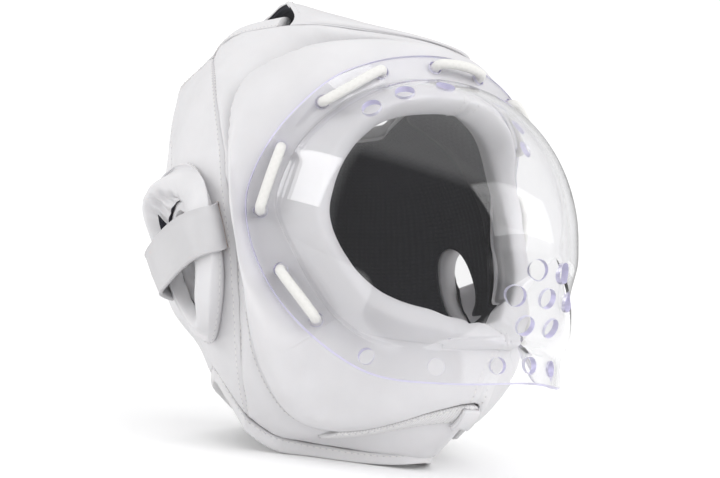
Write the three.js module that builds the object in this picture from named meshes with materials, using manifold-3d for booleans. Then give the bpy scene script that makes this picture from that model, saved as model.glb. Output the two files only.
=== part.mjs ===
// A full-face bubble helmet: a padded synthetic leather head guard with an open crown and a clear domed
// visor laced to its front. Millimetres, +Z up. The face looks along -Y and +X is the wearer's left. The
// helmet rests on its rim at z = 0.
import * as THREE from "three";
import { mergeVertices } from "three/addons/utils/BufferGeometryUtils.js";
import Module from "manifold-3d";

const wasm = await Module();
wasm.setup();

// ---------------------------------------------------------------- driving sizes

const CENTRE_Y = 16.5; // moves the box of the whole helmet to y = 0
const GAP = 0.4; // clearance between sewn panels
const BAND_GAP = 0.5; // clearance between a panel's edge and the band over it
const WALL = 8; // padded wall of the side and back panels
const LINING = 1.6; // knitted lining
const PAD_DEPTH = 13; // front pad from its face to the lining
const PAD_SWELL = 5; // how far the front pad swells over the seam beside it
const SWELL = 3; // how far the head panels swell in their middle
const ROLL_SWELL = 10; // how far the roll round the face stands into the dome
const ROLL_DEPTH = 15; // face roll from its opening back to the lining
const CROWN_BAND = { tall: 8.5, thick: 8, lean: 0.75, middle: [0, 60, 0] }; // it leans towards the middle
const RIM_BAND = { tall: 7.6, thick: 9, lean: 0, middle: [0, 40, 0] };
const FLAP_THICK = 3.4;
const CHIN_BAND = { near: 1.5, far: 10, thick: 1.5 }; // edges measured from the front pad
const CHIN_TAB = { half: 7.5, near: 3, far: 15, thick: 2 };
const VISOR = { wall: 3, apex: [0, -115, 107.5], roundness: 1.7, fullness: 0.75 };
const LACE = { across: 5, rise: 1.6, hole: 6.6, sides: 6 };
const VENT = 9.2; // breathing hole, diameter
const SKIRT_HOLE = 7.4; // open hole in the visor's lower flange, diameter
const EAR_RING_TURNS = 24; // facets round an ear ring
const RING_CLEAR = 0.8; // clearance of its facets above the side panel
const STRAP_THICK = 2.2;
const AROUND = 60; // facets round the face
const VISOR_AROUND = 40; // facets round the visor

// Stations round the face, from the brow down the wearer's left to the chin. Each row gives a point of five
// lines: the outer seam of the surround panel (crown, then side seam, then rim), the outer edge of the front
// pad, the outer edge of the visor, the foot of its dome, and the inner edge of the face opening.
const LINE_NAMES = ["seam", "pad", "flange", "foot", "hem"];
const FRONT = [
  [[0, -17, 209], [0, -21, 204], [0, -37, 201], [0, -44, 188], [0, -43, 171]],
  [[32, -9, 209], [29, -14, 204], [33, -33, 195], [28, -41, 185], [20, -38, 169]],
  [[57, 18, 210], [55, 1, 200], [50, -30, 188], [46, -35, 178], [35, -31, 163]],
  [[63, 68, 208], [70, 9, 191], [65, -25, 179], [59, -28, 168], [44, -27, 156]],
  [[70, 75, 196], [83, 19, 181], [78, -17, 162], [70, -21, 155], [50, -25, 146]],
  [[86, 43, 174], [91, 19, 164], [86, -10, 146], [77, -16, 141], [55, -25, 136]],
  [[92, 21, 148], [96, 7, 139], [91, -5, 127], [81, -14, 125], [58, -27, 123]],
  [[94, 10, 126], [97, -1, 118], [92, -6, 113], [82, -15, 114], [59, -29, 113]],
  [[93, -1, 98], [95, -8, 94], [89, -12, 94], [79, -24, 100], [56, -37, 100]],
  [[91, -6, 72], [93, -16, 70], [81, -22, 76], [70, -32, 82], [50, -45, 89]],
  [[84, -4, 42], [84, -18, 45], [71, -37, 61], [63, -41, 70], [42, -51, 83]],
  [[69, 8, 16], [66, -17, 23], [60, -58, 49], [56, -56, 61], [32, -58, 79]],
  [[57, 3, 9], [48, -20, 15], [52, -72, 45], [50, -71, 59], [24, -64, 77]],
  [[42, -4, 6], [30, -37, 17], [44, -86, 45], [43, -85, 60], [16, -69, 75]],
  [[22, -25, 5], [16, -61, 30], [26, -101, 49], [26, -99, 63], [8, -74, 74]],
  [[0, -45, 5], [0, -77, 38], [0, -109, 53], [0, -107, 67], [0, -77, 73]],
].map((row) => Object.fromEntries(LINE_NAMES.map((name, i) => [name, row[i]])));
// Below this station the visor leaves the leather, and the pad follows the chin instead: shoulder is its
// lower face and crest its upper face, under the roll.
const LEAVES = 10;
const CHIN = [
  { shoulder: [68, -30, 57], crest: [59, -40, 68] },
  { shoulder: [60, -30, 45], crest: [49, -46, 63] },
  { shoulder: [47, -39, 41], crest: [38, -56, 61] },
  { shoulder: [32, -54, 43], crest: [26, -68, 61] },
  { shoulder: [17, -70, 47], crest: [14, -79, 61] },
  { shoulder: [0, -81, 50], crest: [0, -86, 62] },
];
// Level lines of the head panels, from the crown down to the rim, each from the side seam round to the nape:
// ear: over the ear; rear: rear seam; turn: where the back turns; nape: centre of the back.
const FIRST_LEVEL = 4; // the station of FRONT whose seam point starts the first level
const LAST_LEVEL = 11; // and the one that starts the last
const LEVELS = [
  { ear: [72, 86, 188], rear: [74, 99, 178], turn: [52, 124, 174], nape: [0, 136, 174] },
  { ear: [84, 68, 166], rear: [78, 94, 156], turn: [54, 125, 155], nape: [0, 140, 155] },
  { ear: [91, 56, 141], rear: [78, 88, 133], turn: [55, 125, 131], nape: [0, 142, 131] },
  { ear: [94, 48, 118], rear: [78, 84, 111], turn: [55, 124, 108], nape: [0, 142, 108] },
  { ear: [94, 42, 94], rear: [79, 80, 88], turn: [55, 121, 85], nape: [0, 138, 84] },
  { ear: [90, 35, 70], rear: [77, 70, 66], turn: [53, 107, 62], nape: [0, 128, 59] },
  { ear: [83, 29, 50], rear: [74, 46, 50], turn: [53, 78, 43], nape: [0, 115, 33] },
  { ear: [75, 25, 34], rear: [70, 40, 36], turn: [48, 68, 26], nape: [0, 95, 8] },
];
// The ear ring, from its rear up over the top and down its front. foot gives the y and z of its foot on the
// side panel, lip a point of its outer rim, crest the width of the rim's crest and wall that of its foot.
const EAR_RING_ROWS = [
  { foot: [65, 101], lip: [104, 67, 107], crest: 6, wall: 13 },
  { foot: [61, 122], lip: [103, 66, 123], crest: 7, wall: 15 },
  { foot: [38, 133], lip: [103, 43, 131], crest: 17, wall: 18 },
  { foot: [19, 120], lip: [107, 16, 124], crest: 17, wall: 20 },
  { foot: [3, 92], lip: [110, 1, 96], crest: 9, wall: 14 },
  { foot: [2, 69], lip: [108, -2, 68], crest: 8, wall: 12 },
  { foot: [14, 51], lip: [101, 10, 55], crest: 7, wall: 12 },
  { foot: [41, 63], lip: [98, 39, 69], crest: 5, wall: 12 },
];
const EAR_HOLE = { y: 32, z: 89, wide: 12.5, tall: 26, lean: 0.61 };
// The top flap behind the crown seam: mid is the y and z of its centre line, edge a point of its left edge.
const FLAP = [
  { mid: [8, 217], edge: [50, 41, 226] },
  { mid: [34, 224], edge: [41, 54, 230] },
  { mid: [58, 230], edge: [35, 70, 231] },
  { mid: [80, 232], edge: [31, 84, 229] },
  { mid: [102, 227], edge: [28, 101, 224] },
  { mid: [122, 214], edge: [27, 119, 212] },
  { mid: [136, 197], edge: [27, 133, 195] },
  { mid: [145, 175], edge: [27, 142, 173] },
  { mid: [148, 150], edge: [27, 145, 149] },
];
const FLAP_REACH = 2.3; // the station of FRONT where the crown band gives way to the flap
const FLAP_CLEAR = 0.16; // how many stations short of it the flap's front edge ends
// Places along the flange, by station, of the holes of each lace.
const LACES = [
  { name: "lace_brow", ends: [-0.47, 0.47] },
  { name: "lace_temple", ends: [1.7, 3.45], pair: true },
  { name: "lace_side", ends: [4.95, 6.95], pair: true },
  { name: "lace_cheek", ends: [8.5, 9.85], pair: true },
];
const OPEN_HOLES = [11.25, 13.2, 14.35]; // stations of the open holes on each side, and one at the chin
const BROW_VENTS = { stations: [0.75, 1.8, 2.85], out: 0.95 }; // out as in visorFace
const MOUTH_VENTS = { z: 87.5, pitch: 17, rows: 12.5 };

const WHITE = { color: 0xe9e8e8, roughness: 0.55, metalness: 0 };
const FINISH = {
  leather: WHITE,
  binding: { ...WHITE, color: 0xe2e1e1 },
  lining: { color: 0x2b2b30, roughness: 0.9, metalness: 0 },
  visor: { color: 0xf4f4fb, roughness: 0.05, metalness: 0, transparent: true, opacity: 0.3 },
  cord: { color: 0xe8e4d8, roughness: 0.8, metalness: 0 },
  webbing: { color: 0xdddcdc, roughness: 0.75, metalness: 0 },
};

// ---------------------------------------------------------------- small tools

const vec = (p) => new THREE.Vector3(...p);
const mirrored = (p) => new THREE.Vector3(-p.x, p.y, p.z);
const mix = (a, b, t) => a.clone().lerp(b, t);
const mean = (a, b) => (a + b) / 2;
const clamp = (v, lo, hi) => Math.min(hi, Math.max(lo, v));
const total = (points) => points.reduce((sum, p) => sum.add(p), new THREE.Vector3());
const average = (points) => total(points).divideScalar(points.length);
const steps = (from, to, count) =>
  Array.from({ length: count + 1 }, (_, i) => from + ((to - from) * i) / count);

// The Catmull-Rom value of a row of vectors at a real index; a closed row wraps round.
function along(points, at, closed = false) {
  const n = points.length;
  const i = Math.floor(at);
  const t = at - i;
  const pick = (k) => points[closed ? ((k % n) + n) % n : clamp(k, 0, n - 1)];
  const [a, b, c, d] = [pick(i - 1), pick(i), pick(i + 1), pick(i + 2)];
  const out = new THREE.Vector3();
  out.addScaledVector(a, (-t + 2 * t ** 2 - t ** 3) / 2);
  out.addScaledVector(b, (2 - 5 * t ** 2 + 3 * t ** 3) / 2);
  out.addScaledVector(c, (t + 4 * t ** 2 - 3 * t ** 3) / 2);
  return out.addScaledVector(d, (t ** 3 - t ** 2) / 2);
}

// Triangles between rows of points. wrapRows joins the last row to the first, wrapCols the last point of each
// row to its first; an open direction is capped by the caller's own surfaces.
function quads(rows, wrapRows, wrapCols) {
  const out = [];
  const nr = rows.length;
  const nc = rows[0].length;
  for (let r = 0; r < (wrapRows ? nr : nr - 1); r += 1) {
    for (let c = 0; c < (wrapCols ? nc : nc - 1); c += 1) {
      const a = rows[r][c];
      const b = rows[r][(c + 1) % nc];
      const d = rows[(r + 1) % nr][c];
      const e = rows[(r + 1) % nr][(c + 1) % nc];
      out.push([a, b, e], [a, e, d]);
    }
  }
  return out;
}

// One closed geometry facing out, from triangles of shared points.
function solid(triangles) {
  const apart = (a, b) => a.distanceTo(b) > 1e-3;
  const kept = triangles.filter(([a, b, c]) => apart(a, b) && apart(b, c) && apart(c, a));
  const volume = kept.reduce((sum, [a, b, c]) => sum + a.dot(b.clone().cross(c)), 0);
  const flat = kept.flatMap(([a, b, c]) => (volume > 0 ? [a, b, c] : [a, c, b])).flatMap((p) => p.toArray());
  return new THREE.BufferGeometry().setAttribute("position", new THREE.Float32BufferAttribute(flat, 3));
}

// A ring of closed sections, like a tyre.
const ring = (sections) => solid(quads(sections, true, true));

// A bar of closed sections with flat ends.
function bar(sections) {
  const cap = (section) => {
    const centre = average(section);
    return section.map((p, i) => [centre, p, section[(i + 1) % section.length]]);
  };
  const start = cap(sections[0]).map(([a, b, c]) => [a, c, b]);
  return solid([...quads(sections, false, true), ...start, ...cap(sections.at(-1))]);
}

// A closed sheet between two faces given as rows of points, each row closed by walls at its ends.
function sheet(outer, inner, wrapRows = false) {
  const sections = outer.map((row, i) => [...row, ...inner[i].slice().reverse()]);
  if (wrapRows) return ring(sections);
  const cap = (i, flip) => {
    const tris = quads([outer[i], inner[i]], false, false);
    return flip ? tris.map(([a, b, c]) => [a, c, b]) : tris;
  };
  return solid([...quads(sections, false, true), ...cap(0, true), ...cap(outer.length - 1, false)]);
}

function toManifold(geometry) {
  const bare = geometry.clone();
  bare.deleteAttribute("normal");
  bare.deleteAttribute("uv");
  const merged = mergeVertices(bare, 1e-3);
  const vertProperties = merged.attributes.position.array;
  const triVerts = new Uint32Array(merged.index.array);
  return new wasm.Manifold(new wasm.Mesh({ numProp: 3, vertProperties, triVerts }));
}

function fromManifold(manifold) {
  const mesh = manifold.getMesh();
  const geometry = new THREE.BufferGeometry();
  geometry.setAttribute("position", new THREE.BufferAttribute(mesh.vertProperties, 3));
  return geometry.setIndex(new THREE.BufferAttribute(mesh.triVerts, 1)).toNonIndexed();
}

const cut = (geometry, tools) => {
  const body = tools.reduce((left, tool) => left.subtract(toManifold(tool)), toManifold(geometry));
  return fromManifold(body);
};

// A drill of the given diameter through a point, along a direction.
function drill(at, direction, diameter, length, sides = 12) {
  const tool = new THREE.CylinderGeometry(diameter / 2, diameter / 2, length, sides);
  tool.applyQuaternion(new THREE.Quaternion().setFromUnitVectors(new THREE.Vector3(0, 1, 0), direction));
  return tool.translate(at.x, at.y, at.z);
}

// ---------------------------------------------------------------- lines of the front

const STATIONS = 2 * (FRONT.length - 1);
const loopOf = (rows) => [...rows, ...rows.slice(1, -1).reverse().map(mirrored)];
const lineOf = (key) => loopOf(FRONT.map((row) => vec(row[key])));
const LINES = { pad: lineOf("pad"), flange: lineOf("flange"), foot: lineOf("foot"), hem: lineOf("hem") };
const line = (key, at) => along(LINES[key], at, true);
const stations = steps(0, STATIONS, AROUND).slice(0, -1);
const HEAD = vec([0, 26, 112]); // a point inside the head, that depths run towards
const inward = (p, depth) => p.clone().addScaledVector(HEAD.clone().sub(p).normalize(), depth);

// A place on a loop counted from its start down either side, and whether it is on the right.
function folded(at, length) {
  const turned = ((at % length) + length) % length;
  return { down: Math.min(turned, length - turned), right: turned > length / 2 };
}

// The outer seam, in three parts that meet in corners: round the crown, down the side and along the rim.
const SEAM = FRONT.map((row) => vec(row.seam));
const SEAM_PARTS = [
  { to: FIRST_LEVEL, start: -1, points: [mirrored(SEAM[1]), ...SEAM.slice(0, FIRST_LEVEL + 1)] },
  { to: LAST_LEVEL, start: FIRST_LEVEL, points: SEAM.slice(FIRST_LEVEL, LAST_LEVEL + 1) },
  { to: SEAM.length - 1, start: LAST_LEVEL, points: [...SEAM.slice(LAST_LEVEL), mirrored(SEAM.at(-2))] },
];
function seamAt(at) {
  const { down, right } = folded(at, STATIONS);
  const part = SEAM_PARTS.find(({ to }) => down <= to);
  const p = along(part.points, down - part.start);
  return right ? mirrored(p) : p;
}

// Outward normal of the visor's flange at a station.
function flangeNormal(at) {
  const ahead = line("flange", at + 0.05).sub(line("flange", at - 0.05));
  const across = line("foot", at).sub(line("flange", at));
  return across.cross(ahead).normalize();
}

// The front pad's face under the visor: shoulder under the flange's edge, crest under the dome's foot.
function padFace(at) {
  const { down, right } = folded(at, STATIONS);
  const under = flangeNormal(at).multiplyScalar(-(VISOR.wall + 1));
  const seated = { shoulder: line("flange", at).add(under), crest: line("foot", at).add(under) };
  if (down <= LEAVES - 1) return seated;
  const chin = (key) => {
    const p = along(CHIN.map((row) => vec(row[key])), Math.max(down - LEAVES, 0));
    return right ? mirrored(p) : p;
  };
  const blend = clamp(down - LEAVES + 1, 0, 1);
  return {
    shoulder: mix(seated.shoulder, chin("shoulder"), blend),
    crest: mix(seated.crest, chin("crest"), blend),
  };
}

// ---------------------------------------------------------------- padded front

// The raised pad round the visor, from its outer edge to the foot of the dome. Under the chin it swells less.
function frontPad() {
  return ring(
    stations.map((at) => {
      const edge = line("pad", at);
      const { shoulder, crest } = padFace(at);
      const plump = PAD_SWELL * (1 - 0.6 * clamp((folded(at, STATIONS).down - LEAVES + 1) / 3, 0, 1));
      const swell = mix(edge, shoulder, 0.4).sub(inward(edge, plump).sub(edge));
      const face = [edge, swell, shoulder, crest];
      const front = [0, 0.5, 1, 1.6, 2, 3].map((t) => along(face, t));
      return [...front, inward(crest, PAD_DEPTH), inward(shoulder, PAD_DEPTH), inward(edge, WALL)];
    }),
  );
}

// The thick roll round the face opening, standing forward into the dome.
function faceRoll() {
  return ring(
    stations.map((at) => {
      const { crest } = padFace(at);
      const hem = line("hem", at);
      const start = crest.clone().addScaledVector(hem.clone().sub(crest).normalize(), GAP + 1.5);
      const middle = mix(start, hem, 0.5).add(vec([0, -ROLL_SWELL, 0]));
      const outward = hem.clone().sub(vec([0, hem.y, HEAD.z])).setY(0).normalize();
      const back = inward(hem, 2).add(vec([0, ROLL_DEPTH * 0.8, 0])).addScaledVector(outward, 7);
      const face = [start, middle, hem, back];
      return [...[0, 0.5, 1, 1.5, 2, 2.5, 3].map((t) => along(face, t)), inward(start, PAD_DEPTH - 2)];
    }),
  );
}

// The flat panel between the front pad and the crown, side seams and rim.
function surroundPanel() {
  const faces = stations.map((at) => {
    const edge = line("pad", at);
    const seam = seamAt(at);
    const inset = seam.clone().sub(edge).normalize().multiplyScalar(GAP);
    const from = inward(edge, 2).add(inset);
    const to = seam.clone().sub(inset);
    return [from, mix(from, to, 0.5), to];
  });
  return sheet(faces, faces.map((row) => row.map((p) => inward(p, WALL - 2))), true);
}

// The lining behind the front, from inside the face opening to the side seams.
function faceLining() {
  const faces = stations.map((at) => {
    const { crest, shoulder } = padFace(at);
    const seam = inward(seamAt(at), WALL + 5);
    const middle = inward(shoulder, PAD_DEPTH + 2);
    return [mix(inward(crest, PAD_DEPTH + 2), middle, 0.34), middle, mix(middle, seam, 0.97)];
  });
  return sheet(faces, faces.map((row) => row.map((p) => inward(p, LINING))), true);
}

// ---------------------------------------------------------------- head panels

const LEVEL_LINES = LEVELS.map((row, i) => {
  const half = [SEAM[FIRST_LEVEL + i], vec(row.ear), vec(row.rear), vec(row.turn), vec(row.nape)];
  return [...half, ...half.slice(0, -1).reverse().map(mirrored)];
});
const REAR = 2; // the rear seam's place along a level
const NAPE = 4; // the nape's place
const COLUMN = 0.25; // width of a facet along a level

// A point of the head's skin: place runs from 0 at the left side seam to 8 at the right one, and level counts
// from the crown.
const skin = (place, level) => along(LEVEL_LINES.map((row) => along(row, place)), level);

function skinNormal(place, level) {
  const d = 0.02;
  const a = clamp(place, d, 8 - d);
  const b = clamp(level, d, LEVELS.length - 1 - d);
  const round = skin(a + d, b).sub(skin(a - d, b));
  const down = skin(a, b + d).sub(skin(a, b - d));
  return down.cross(round).normalize();
}

// How far a padded panel between two places stands above the skin at a point of it.
function bump(place, level, [from, to], swell) {
  const s = clamp((place - from) / (to - from), 0, 1);
  const t = clamp(level / (LEVELS.length - 1), 0, 1);
  return swell * (4 * s * (1 - s)) ** 0.6 * (4 * t * (1 - t)) ** 0.5;
}

// A padded panel between two places along the levels, bevelled at the side seam to meet the front.
function headPanel(span) {
  const trim = 0.015;
  const [from, to] = span;
  const columns = steps(from, to, (to - from) / COLUMN).map((p) => clamp(p, from + trim, to - trim));
  const rows = steps(0, LEVELS.length - 1, 14).map((v) => clamp(v, trim, LEVELS.length - 1 - trim));
  const outer = rows.map((level) =>
    columns.map((p) => {
      const rise = bump(p, level, span, SWELL);
      return skin(p, level).addScaledVector(skinNormal(p, level), rise);
    }),
  );
  const inner = rows.map((level) =>
    columns.map((p) => {
      const under = skin(p, level).addScaledVector(skinNormal(p, level), -WALL);
      const bevel = clamp(1 - Math.min(p, 2 * NAPE - p) / COLUMN, 0, 1);
      return mix(under, inward(skin(p, level), WALL - 2), bevel);
    }),
  );
  return sheet(outer, inner);
}

// The left side panel's face nearest to a given depth and height, raised by a clearance.
function sideFace(y, z, raise) {
  let [place, level] = [1, 4];
  for (let turn = 0; turn < 40; turn += 1) {
    const p = skin(place, level);
    const step = 0.01;
    const dp = skin(place + step, level).sub(p).divideScalar(step);
    const dl = skin(place, level + step).sub(p).divideScalar(step);
    const det = dp.y * dl.z - dp.z * dl.y;
    place = clamp(place + (0.6 * ((y - p.y) * dl.z - (z - p.z) * dl.y)) / det, 0, REAR);
    level = clamp(level + (0.6 * (dp.y * (z - p.z) - dp.z * (y - p.y))) / det, 0, LEVELS.length - 1);
  }
  const height = bump(place, level, [0, REAR], SWELL) + raise;
  return skin(place, level).addScaledVector(skinNormal(place, level), height);
}

// The ear hole through a side panel and the lining behind it.
function earHole(side) {
  const tool = new THREE.CylinderGeometry(1, 1, 60, 20);
  tool.scale(EAR_HOLE.wide, 1, EAR_HOLE.tall);
  tool.rotateZ(Math.PI / 2);
  tool.rotateX(-EAR_HOLE.lean);
  return tool.translate(side * 85, EAR_HOLE.y, EAR_HOLE.z);
}

// The lining behind the side and back panels, with the ear holes.
function headLining() {
  const depth = WALL + 1.8;
  const columns = steps(0.08, 2 * NAPE - 0.08, 22);
  const rows = steps(0.15, LEVELS.length - 1.2, 7);
  const face = (offset) =>
    rows.map((level) => columns.map((p) => skin(p, level).addScaledVector(skinNormal(p, level), -offset)));
  return cut(sheet(face(depth), face(depth + LINING)), [earHole(1), earHole(-1)]);
}

// ---------------------------------------------------------------- bands and straps

// Both bands run along the front's seam for the first four places of each side, then along the head panels.
const FRONT_SHARE = 4;
const LOOP = 2 * (FRONT_SHARE + NAPE);
function bandPath(at, firstStation, sign, level) {
  const { down, right } = folded(at, LOOP);
  const p = down <= FRONT_SHARE ? seamAt(firstStation + sign * down) : skin(down - FRONT_SHARE, level);
  return right ? mirrored(p) : p;
}
const crownPath = (at) => bandPath(at, 0, 1, 0);
const rimPath = (at) => bandPath(at, FRONT.length - 1, -1, LEVELS.length - 1);

// Points of a band's section at a place of its path, as shares of its thickness and height. up is +1 or -1.
function bandPoints(path, at, { tall, thick, lean, middle }, up, shares) {
  const p = path(at);
  const inside = vec(middle).sub(p).setZ(0).normalize();
  const rise = vec([0, 0, up]).addScaledVector(inside, lean).normalize();
  return shares.map(([across, high]) => {
    const foot = p.clone().addScaledVector(inside, across * thick);
    return foot.add(vec([0, 0, up * BAND_GAP])).addScaledVector(rise, high * tall);
  });
}
const BAND_SHARES = [[0.02, 0], [-0.06, 0.4], [0, 0.85], [0.15, 1], [0.85, 1], [1, 0.8], [0.95, 0]];
const frontPlaces = (from, to) => steps(from, to, Math.abs(to - from) * 2);
const backPlaces = steps(FRONT_SHARE, LOOP - FRONT_SHARE, (2 * NAPE) / COLUMN).slice(1, -1);

// The binding round the crown, open at the brow where the top flap is sewn.
function crownBand() {
  const left = [FLAP_REACH, ...frontPlaces(Math.ceil(2 * FLAP_REACH) / 2, FRONT_SHARE)];
  const right = left.map((at) => LOOP - at).reverse();
  const places = [...left, ...backPlaces, ...right];
  return bar(places.map((at) => bandPoints(crownPath, at, CROWN_BAND, 1, BAND_SHARES)));
}

// The binding round the rim, which the helmet rests on: its underside is flat where it meets the floor.
function rimBand() {
  const front = frontPlaces(-FRONT_SHARE, FRONT_SHARE);
  const sections = [...front, ...backPlaces].map((at) => bandPoints(rimPath, at, RIM_BAND, -1, BAND_SHARES));
  for (const p of sections.flat()) p.z = Math.max(p.z, 0);
  return ring(sections);
}

// The flap: sewn into the crown seam at the brow, it rises like the band beside it, then narrows to a strap
// that runs back over the crown and down the back.
function topFlap() {
  const across = steps(-1, 1, 8);
  const reach = FLAP_REACH - FLAP_CLEAR;
  const sewn = [() => 0, (u) => 0.4 + 0.45 * u * u].map((high) =>
    across.map((u) => bandPoints(crownPath, u * reach, CROWN_BAND, 1, [[0.02, high(u)]])[0]),
  );
  const free = FLAP.map(({ mid, edge }) =>
    across.map((u) => {
      const [y, z] = [0, 1].map((k) => mid[k] + (edge[k + 1] - mid[k]) * u * u);
      return vec([u * edge[0], y, z]);
    }),
  );
  const table = [...sewn, ...free];
  const spots = [0, ...steps(1, table.length - 1, 12)];
  const face = spots.map((at) => across.map((_, i) => along(table.map((row) => row[i]), at)));
  const under = face.map((row, r) =>
    row.map((p, i) => {
      const ahead = face[Math.min(r + 1, face.length - 1)][i].clone().sub(face[Math.max(r - 1, 0)][i]);
      const aside = row[Math.min(i + 1, row.length - 1)].clone().sub(row[Math.max(i - 1, 0)]);
      return p.clone().addScaledVector(aside.cross(ahead).normalize(), -FLAP_THICK);
    }),
  );
  return sheet(face, under);
}

// The padded collar round the ear, from the side panel out to its rounded lip.
function earRing(side) {
  const feet = EAR_RING_ROWS.map((row) => vec([0, ...row.foot]));
  const lips = EAR_RING_ROWS.map((row) => vec(row.lip));
  const widths = EAR_RING_ROWS.map((row) => vec([row.crest, row.wall, 0]));
  const middle = average(lips);
  const sections = Array.from({ length: EAR_RING_TURNS }, (_, i) => {
    const at = (i / EAR_RING_TURNS) * lips.length;
    const lip = along(lips, at, true);
    const onPanel = along(feet, at, true);
    const { x: crest, y: wall } = along(widths, at, true);
    const inner = middle.clone().sub(lip).setX(0).normalize();
    const [foot, under, root] = [0, 0.5, 1].map((share) => {
      const step = inner.clone().multiplyScalar(wall * share);
      return sideFace(onPanel.y + step.y, onPanel.z + step.z, RING_CLEAR);
    });
    const within = lip.clone().add(vec([-4, 0, 0])).addScaledVector(inner, mean(crest, wall));
    const points = [
      foot,
      mix(foot, lip, 0.5).addScaledVector(inner, -1.5),
      lip.clone().add(vec([-3, 0, 0])).addScaledVector(inner, -0.5),
      lip.clone().addScaledVector(inner, crest * 0.35),
      lip.clone().addScaledVector(inner, crest * 0.85),
      within,
      mix(root, within, 0.4),
      root,
      under,
    ];
    return points.map((p) => (side > 0 ? p : mirrored(p)));
  });
  return ring(sections);
}

// The strap's section, as shares of its half width and its thickness.
const STRAP_SECTION = [[-1, 0], [-0.97, 0.85], [0, 1], [0.97, 0.85], [1, 0], [0, 0]];

// A strap along a route of centre points, each with half of its width as a vector.
function strap(route, thick, rowsAlong, side) {
  const centres = route.map((row) => vec(row.at));
  const halves = route.map((row) => vec(row.half));
  const sections = steps(0, route.length - 1, rowsAlong).map((at) => {
    const p = along(centres, at);
    const half = along(halves, at);
    const ahead = along(centres, at + 0.05).sub(along(centres, at - 0.05));
    const out = ahead.clone().cross(half).normalize();
    return STRAP_SECTION.map(([u, v]) => {
      const q = p.clone().addScaledVector(half, u).addScaledVector(out, v * thick);
      return side > 0 ? q : mirrored(q);
    });
  });
  return bar(sections);
}

// From the ear ring's front seam over the ring and in behind it to the side panel: a centre point, and half
// of the width there as a vector.
const EAR_STRAP_ROUTE = [
  { at: [96.7, 7.4, 105], half: [0.9, 5.4, 10.6] },
  { at: [101.5, 2.9, 103.5], half: [0.4, 4.9, 10.6] },
  { at: [106.6, 0.9, 101.8], half: [-0.1, 5, 10.4] },
  { at: [111, 3, 99.4], half: [-0.3, 7, 10] },
  { at: [112.4, 10, 96.3], half: [-0.2, 8.6, 9.8] },
  { at: [111.2, 22, 91], half: [0, 9.6, 9.5] },
  { at: [107.5, 38, 84], half: [0, 9.8, 9.3] },
  { at: [104, 48, 80], half: [0, 9.5, 9] },
  { at: [99, 53.5, 78.4], half: [0, 9.5, 9] },
  { at: [92.3, 56, 77.2], half: [0, 9.5, 9] },
];

// ---------------------------------------------------------------- visor and laces

// A point of the visor's outer face: out is 0 at the dome's middle, 1 at its foot, 2 at the flange's rim.
function visorFace(at, out) {
  const foot = line("foot", at);
  if (out > 1) return mix(foot, line("flange", at), out - 1);
  const apex = vec(VISOR.apex);
  const share = Math.max(1 - out ** VISOR.roundness, 0) ** VISOR.fullness;
  const p = mix(apex, foot, out);
  p.y = foot.y + (apex.y - foot.y) * share;
  return p;
}

const VISOR_RINGS = [0, 0.25, 0.48, 0.68, 0.85, 0.95, 1, 1.12, 2];

// The visor's outward normal, from its neighbours.
function visorNormal(at, out) {
  if (out < 0.01) return vec([0, -1, 0]);
  const e = 0.01;
  const round = visorFace(at + 0.05, out).sub(visorFace(at - 0.05, out));
  const [lo, hi] = out > 1 ? [out - e, Math.min(out + e, 2)] : [out - e, Math.min(out + e, 1)];
  const ahead = visorFace(at, hi).sub(visorFace(at, lo));
  const normal = round.cross(ahead).normalize();
  if (Math.abs(out - 1) > 0.02) return normal;
  return normal.add(flangeNormal(at)).normalize();
}

function visorHoles() {
  const tools = [];
  const onFlange = (at, diameter) => {
    const middle = mix(line("foot", at), line("flange", at), 0.52);
    tools.push(drill(middle, flangeNormal(at), diameter, 12, 8));
  };
  for (const lace of LACES) {
    for (const end of lace.ends) {
      onFlange(end, LACE.hole);
      if (lace.pair) onFlange(STATIONS - end, LACE.hole);
    }
  }
  for (const at of OPEN_HOLES) {
    onFlange(at, SKIRT_HOLE);
    onFlange(STATIONS - at, SKIRT_HOLE);
  }
  onFlange(STATIONS / 2, SKIRT_HOLE);
  const onDome = (at, out) => tools.push(drill(visorFace(at, out), visorNormal(at, out), VENT, 14, 10));
  for (const at of BROW_VENTS.stations) {
    onDome(at, BROW_VENTS.out);
    onDome(STATIONS - at, BROW_VENTS.out);
  }
  const { z, pitch, rows } = MOUTH_VENTS;
  const offsets = [[-pitch, 0], [0, 0], [pitch, 0]];
  for (const x of [-pitch / 2, pitch / 2]) offsets.push([x, rows], [x, -rows]);
  for (const [x, rise] of offsets) onDome(...domeAt(x, z + rise));
  return tools;
}

// The place on the dome straight in front of a given x and z.
function domeAt(x, z) {
  let best = { miss: Infinity };
  for (const at of steps(0, STATIONS, 300)) {
    for (const out of steps(0.01, 0.99, 49)) {
      const p = visorFace(at, out);
      const miss = Math.hypot(p.x - x, p.z - z);
      if (miss < best.miss) best = { miss, at, out };
    }
  }
  return [best.at, best.out];
}

function visor() {
  const around = steps(0, STATIONS, VISOR_AROUND).slice(0, -1);
  const outer = around.map((at) => VISOR_RINGS.map((out) => visorFace(at, out)));
  const inner = around.map((at, i) =>
    VISOR_RINGS.map((out, k) => outer[i][k].clone().addScaledVector(visorNormal(at, out), -VISOR.wall)),
  );
  return cut(sheet(outer, inner, true), visorHoles());
}

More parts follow.
